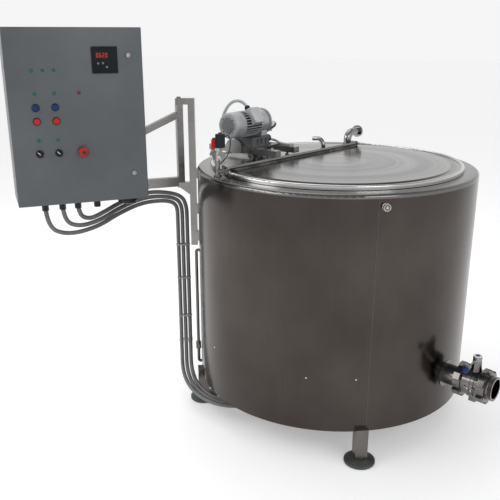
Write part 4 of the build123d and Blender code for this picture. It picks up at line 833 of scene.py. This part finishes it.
red_lamp.done("red_lamp", red_lens, "door")

meter_place = door_face @ shift(0.357, 0.534, 0)
window = Piece()
window.extruded(moved(rounded_box(0.0245, 0.0108, 0.0015), -0.010, 0.017), 0.0040, 0.0054, meter_place,
                0.0005)
window.done("display_window", display_glass, "door")

segments = {"top": ((-1, 2), (1, 2)), "middle": ((-1, 0), (1, 0)), "bottom": ((-1, -2), (1, -2)),
            "upper_left": ((-1, 0), (-1, 2)), "upper_right": ((1, 0), (1, 2)),
            "lower_left": ((-1, -2), (-1, 0)), "lower_right": ((1, -2), (1, 0))}
digit_shapes = {"0": ("top", "bottom", "upper_left", "upper_right", "lower_left", "lower_right"),
                "2": ("top", "middle", "bottom", "upper_right", "lower_left"),
                "6": ("top", "middle", "bottom", "upper_left", "lower_left", "lower_right")}
digits = Piece()
digit_pitch = 0.0110
for position, digit in enumerate("0620"):
    centre = (-0.0265 + digit_pitch * position, 0.017)
    for segment in digit_shapes[digit]:
        (x1, y1), (x2, y2) = segments[segment]
        middle = (centre[0] + 0.0014 * (x1 + x2), centre[1] + 0.0018 * (y1 + y2))
        half = (0.0023, 0.0006) if y1 == y2 else (0.0006, 0.0030)
        digits.extruded(moved([(-half[0], -half[1]), (half[0], -half[1]), (half[0], half[1]),
                               (-half[0], half[1])], *middle), 0.0052, 0.0057, meter_place)
digits.done("display_digits", display_red, "door")

keys = Piece()
for x, y in ((-0.025, -0.012), (-0.007, -0.011), (0.007, -0.025)):
    keys.turned([(0.0042, 0.0045), (0.0042, 0.0062), (0.0036, 0.0066), (0, 0.0066)],
                meter_place @ shift(x, y, 0), 20)
keys.done("meter_keys", conduit_plastic, "door")

for side, x in (("left", left_column), ("right", right_column)):
    mark = Piece()
    mark.extruded([(-0.0011, -0.0015), (0.0011, -0.0015), (0.0011, 0.0118), (-0.0011, 0.0118)], 0.0186,
                  0.0203, door_face @ shift(x, switch_row, 0) @ turn(45, "Z"))
    mark.done("selector_mark_" + side, white_mark, "switch_" + side)

centre_mark = Piece()
centre_mark.turned([(0.0058, 0.0245), (0.0058, 0.0253), (0.0046, 0.0256), (0, 0.0256)],
                   door_face @ shift(mushroom_column, switch_row, 0), 24)
centre_mark.done("mushroom_centre", black_plastic, "emergency")


# Filling valve: red plate, steel rings and lead of the coil

coil_centre = filling_place + Vector((0.008, -0.008, 0))
coil_plate = Piece()
coil_plate.extruded(rounded_box(0.0105, 0.0200, 0.002), 0, 0.0040,
                    facing(coil_centre + Vector((-0.0121, 0.0240, 1.2275)), (-1, 0, 0)), 0.0010)
coil_plate.done("coil_plate", red_plastic, "vat")

coil_rings = Piece()
for low, high, radius in ((1.2066, 1.2092, 0.0165), (1.2118, 1.2142, 0.0150)):
    coil_rings.turned([(0.0119, low), (radius, low), (radius, high), (0.0119, high)],
                      Matrix.Translation(filling_place), 36)
coil_rings.done("coil_rings", bolt_steel, "vat")

smooth_lead("coil_lead", "vat", [(-0.508, 0.183, 1.254), (-0.493, 0.179, 1.266), (-0.476, 0.177, 1.250),
                                 (-0.478, 0.177, 1.205), (-0.497, 0.183, 1.168), (-0.5215, 0.193, 1.150)],
            0.0022, black_plastic)


# Drive's right-hand side: dark ring nut, wheel grip and pale lead down to the beam

plug_end = drive @ Vector((0.078, -0.004, 1.188))
plug_along = (drive @ Vector((0.096, -0.004, 1.184)) - plug_end).normalized()
ring_nut = Piece()
ring_nut.turned([(0.0164, 0.0), (0.0176, 0.0012), (0.0176, 0.0150), (0.0164, 0.0162), (0.0110, 0.0190),
                 (0.0110, 0.0150)], facing(plug_end + 0.001 * plug_along, plug_along), 24)
ring_nut.done("plug_ring", black_plastic, "vat")

wheel_place = drive @ shift(0.106, 0, 1.230) @ turn(-24, "Y") @ shift(0, 0, 0.005)
wheel_grip = Piece()
wheel_grip.turned([(0.0300, -0.0006), (0.0356, 0.0036), (0.0358, 0.0094), (0.0330, 0.0124)], wheel_place, 48)
grip_count = 16
for step in range(grip_count):
    angle = 2 * math.pi * step / grip_count
    wheel_grip.extruded(moved(rounded_box(0.0022, 0.0028, 0.0010), 0.0350 * math.cos(angle),
                              0.0350 * math.sin(angle)), 0.0022, 0.0108, wheel_place, 0.0008)
wheel_grip.done("wheel_grip", gearbox_iron, "vat")

lead_start = plug_end + 0.0180 * plug_along
lead_route = [tuple(lead_start), tuple(lead_start + 0.018 * plug_along + Vector((0, 0, -0.003))),
              tuple(drive @ Vector((0.122, -0.030, 1.1730))), tuple(drive @ Vector((0.090, -0.070, 1.1685))),
              tuple(drive @ Vector((0.074, -0.115, 1.1685))), tuple(drive @ Vector((0.073, -0.160, 1.1685)))]
smooth_lead("drive_lead", "vat", lead_route, 0.0060, pale_conduit)


# Stage, light and camera

def seen_rays(tree):
    """One for the camera, a reflection or a view through glass, and nought for other light."""
    rays = add_node(tree, "ShaderNodeLightPath")
    seen = rays.outputs["Is Camera Ray"]
    for ray in ("Is Glossy Ray", "Is Transmission Ray"):
        either = add_node(tree, "ShaderNodeMath", operation="MAXIMUM")
        tree.links.new(seen, either.inputs[0])
        tree.links.new(rays.outputs[ray], either.inputs[1])
        seen = either.outputs[0]
    return seen


def stage_floor():
    data = bpy.data.meshes.new("studio_floor")
    reach = 40.0
    data.from_pydata([(-reach, -reach, 0), (reach, -reach, 0), (reach, reach, 0), (-reach, reach, 0)],
                     [], [(0, 1, 2, 3)])
    material = new_material("pale_floor")
    tree = material.node_tree
    noise = add_node(tree, "ShaderNodeTexNoise", Scale=1.4, Detail=4.0)
    place = add_node(tree, "ShaderNodeTexCoord")
    tree.links.new(place.outputs["Object"], noise.inputs["Vector"])
    colour = blend_colours(tree, noise.outputs["Fac"], (0.80, 0.80, 0.80), (0.84, 0.84, 0.84))
    roughness = map_range(tree, noise.outputs["Fac"], 0.55, 0.65)
    surface(material, roughness, colour, noise.outputs["Fac"], 0.02)
    shader = shader_of(material)
    tree.links.new(map_range(tree, seen_rays(tree), 0.0, 0.28), shader.inputs["Emission Strength"])
    shader.inputs["Emission Color"].default_value = (1, 1, 1, 1)
    data.materials.append(material)
    floor = bpy.data.objects.new("studio_floor", data)
    scene.collection.objects.link(floor)
    floor.location.z = -0.0005


def studio_world():
    """Plain soft light all round, and a backdrop that is white low down and greyer overhead."""
    world = bpy.data.worlds.new("studio_world")
    scene.world = world
    world.use_nodes = True
    tree = world.node_tree
    tree.nodes.clear()
    place = add_node(tree, "ShaderNodeTexCoord")
    split = add_node(tree, "ShaderNodeSeparateXYZ")
    tree.links.new(place.outputs["Generated"], split.inputs[0])
    height = map_range(tree, split.outputs["Z"], 0.0, 1.0, 0.0, 0.9)
    lighting = blend_colours(tree, height, (0.86, 0.86, 0.87), (0.70, 0.70, 0.71))
    overhead = map_range(tree, split.outputs["Z"], 0.0, 1.0, 0.30, 0.85)
    backdrop = blend_colours(tree, overhead, (0.92, 0.92, 0.92), (0.40, 0.42, 0.45))
    colour = blend_colours(tree, seen_rays(tree), lighting, backdrop)
    background = add_node(tree, "ShaderNodeBackground", Strength=1.0)
    tree.links.new(colour, background.inputs["Color"])
    output = add_node(tree, "ShaderNodeOutputWorld")
    tree.links.new(background.outputs[0], output.inputs["Surface"])


def soft_lamp(name, place, target, width, height, power):
    data = bpy.data.lights.new(name, "AREA")
    data.shape = "RECTANGLE"
    data.size = width
    data.size_y = height
    data.energy = power
    lamp = bpy.data.objects.new(name, data)
    scene.collection.objects.link(lamp)
    lamp.location = place
    lamp.rotation_euler = (Vector(target) - Vector(place)).to_track_quat("-Z", "Y").to_euler()


def photo_camera():
    """The photograph's view, fitted to the cabinet door and the vat."""
    data = bpy.data.cameras.new("photo_view")
    data.sensor_width = 36.0
    data.lens = 49.49
    data.shift_y = 0.0218
    data.clip_end = 200.0
    camera = bpy.data.objects.new("photo_view", data)
    scene.collection.objects.link(camera)
    camera.location = (-2.463, -1.717, 1.641)
    pitch = math.radians(18.235)
    look = Vector((0.743 * math.cos(pitch), 0.669 * math.cos(pitch), -math.sin(pitch)))
    camera.rotation_euler = look.to_track_quat("-Z", "Y").to_euler()
    scene.camera = camera


stage_floor()
studio_world()
soft_lamp("key_lamp", (-3.0, 2.4, 2.5), (-0.2, 0.1, 0.8), 3.6, 1.8, 62)
soft_lamp("front_lamp", (-1.6, -4.0, 3.0), (0, 0, 0.7), 2.4, 1.6, 35)
soft_lamp("top_lamp", (0.6, 1.4, 4.0), (0, 0, 1.0), 3.0, 3.0, 40)
photo_camera()
scene.view_settings.view_transform = "Standard"
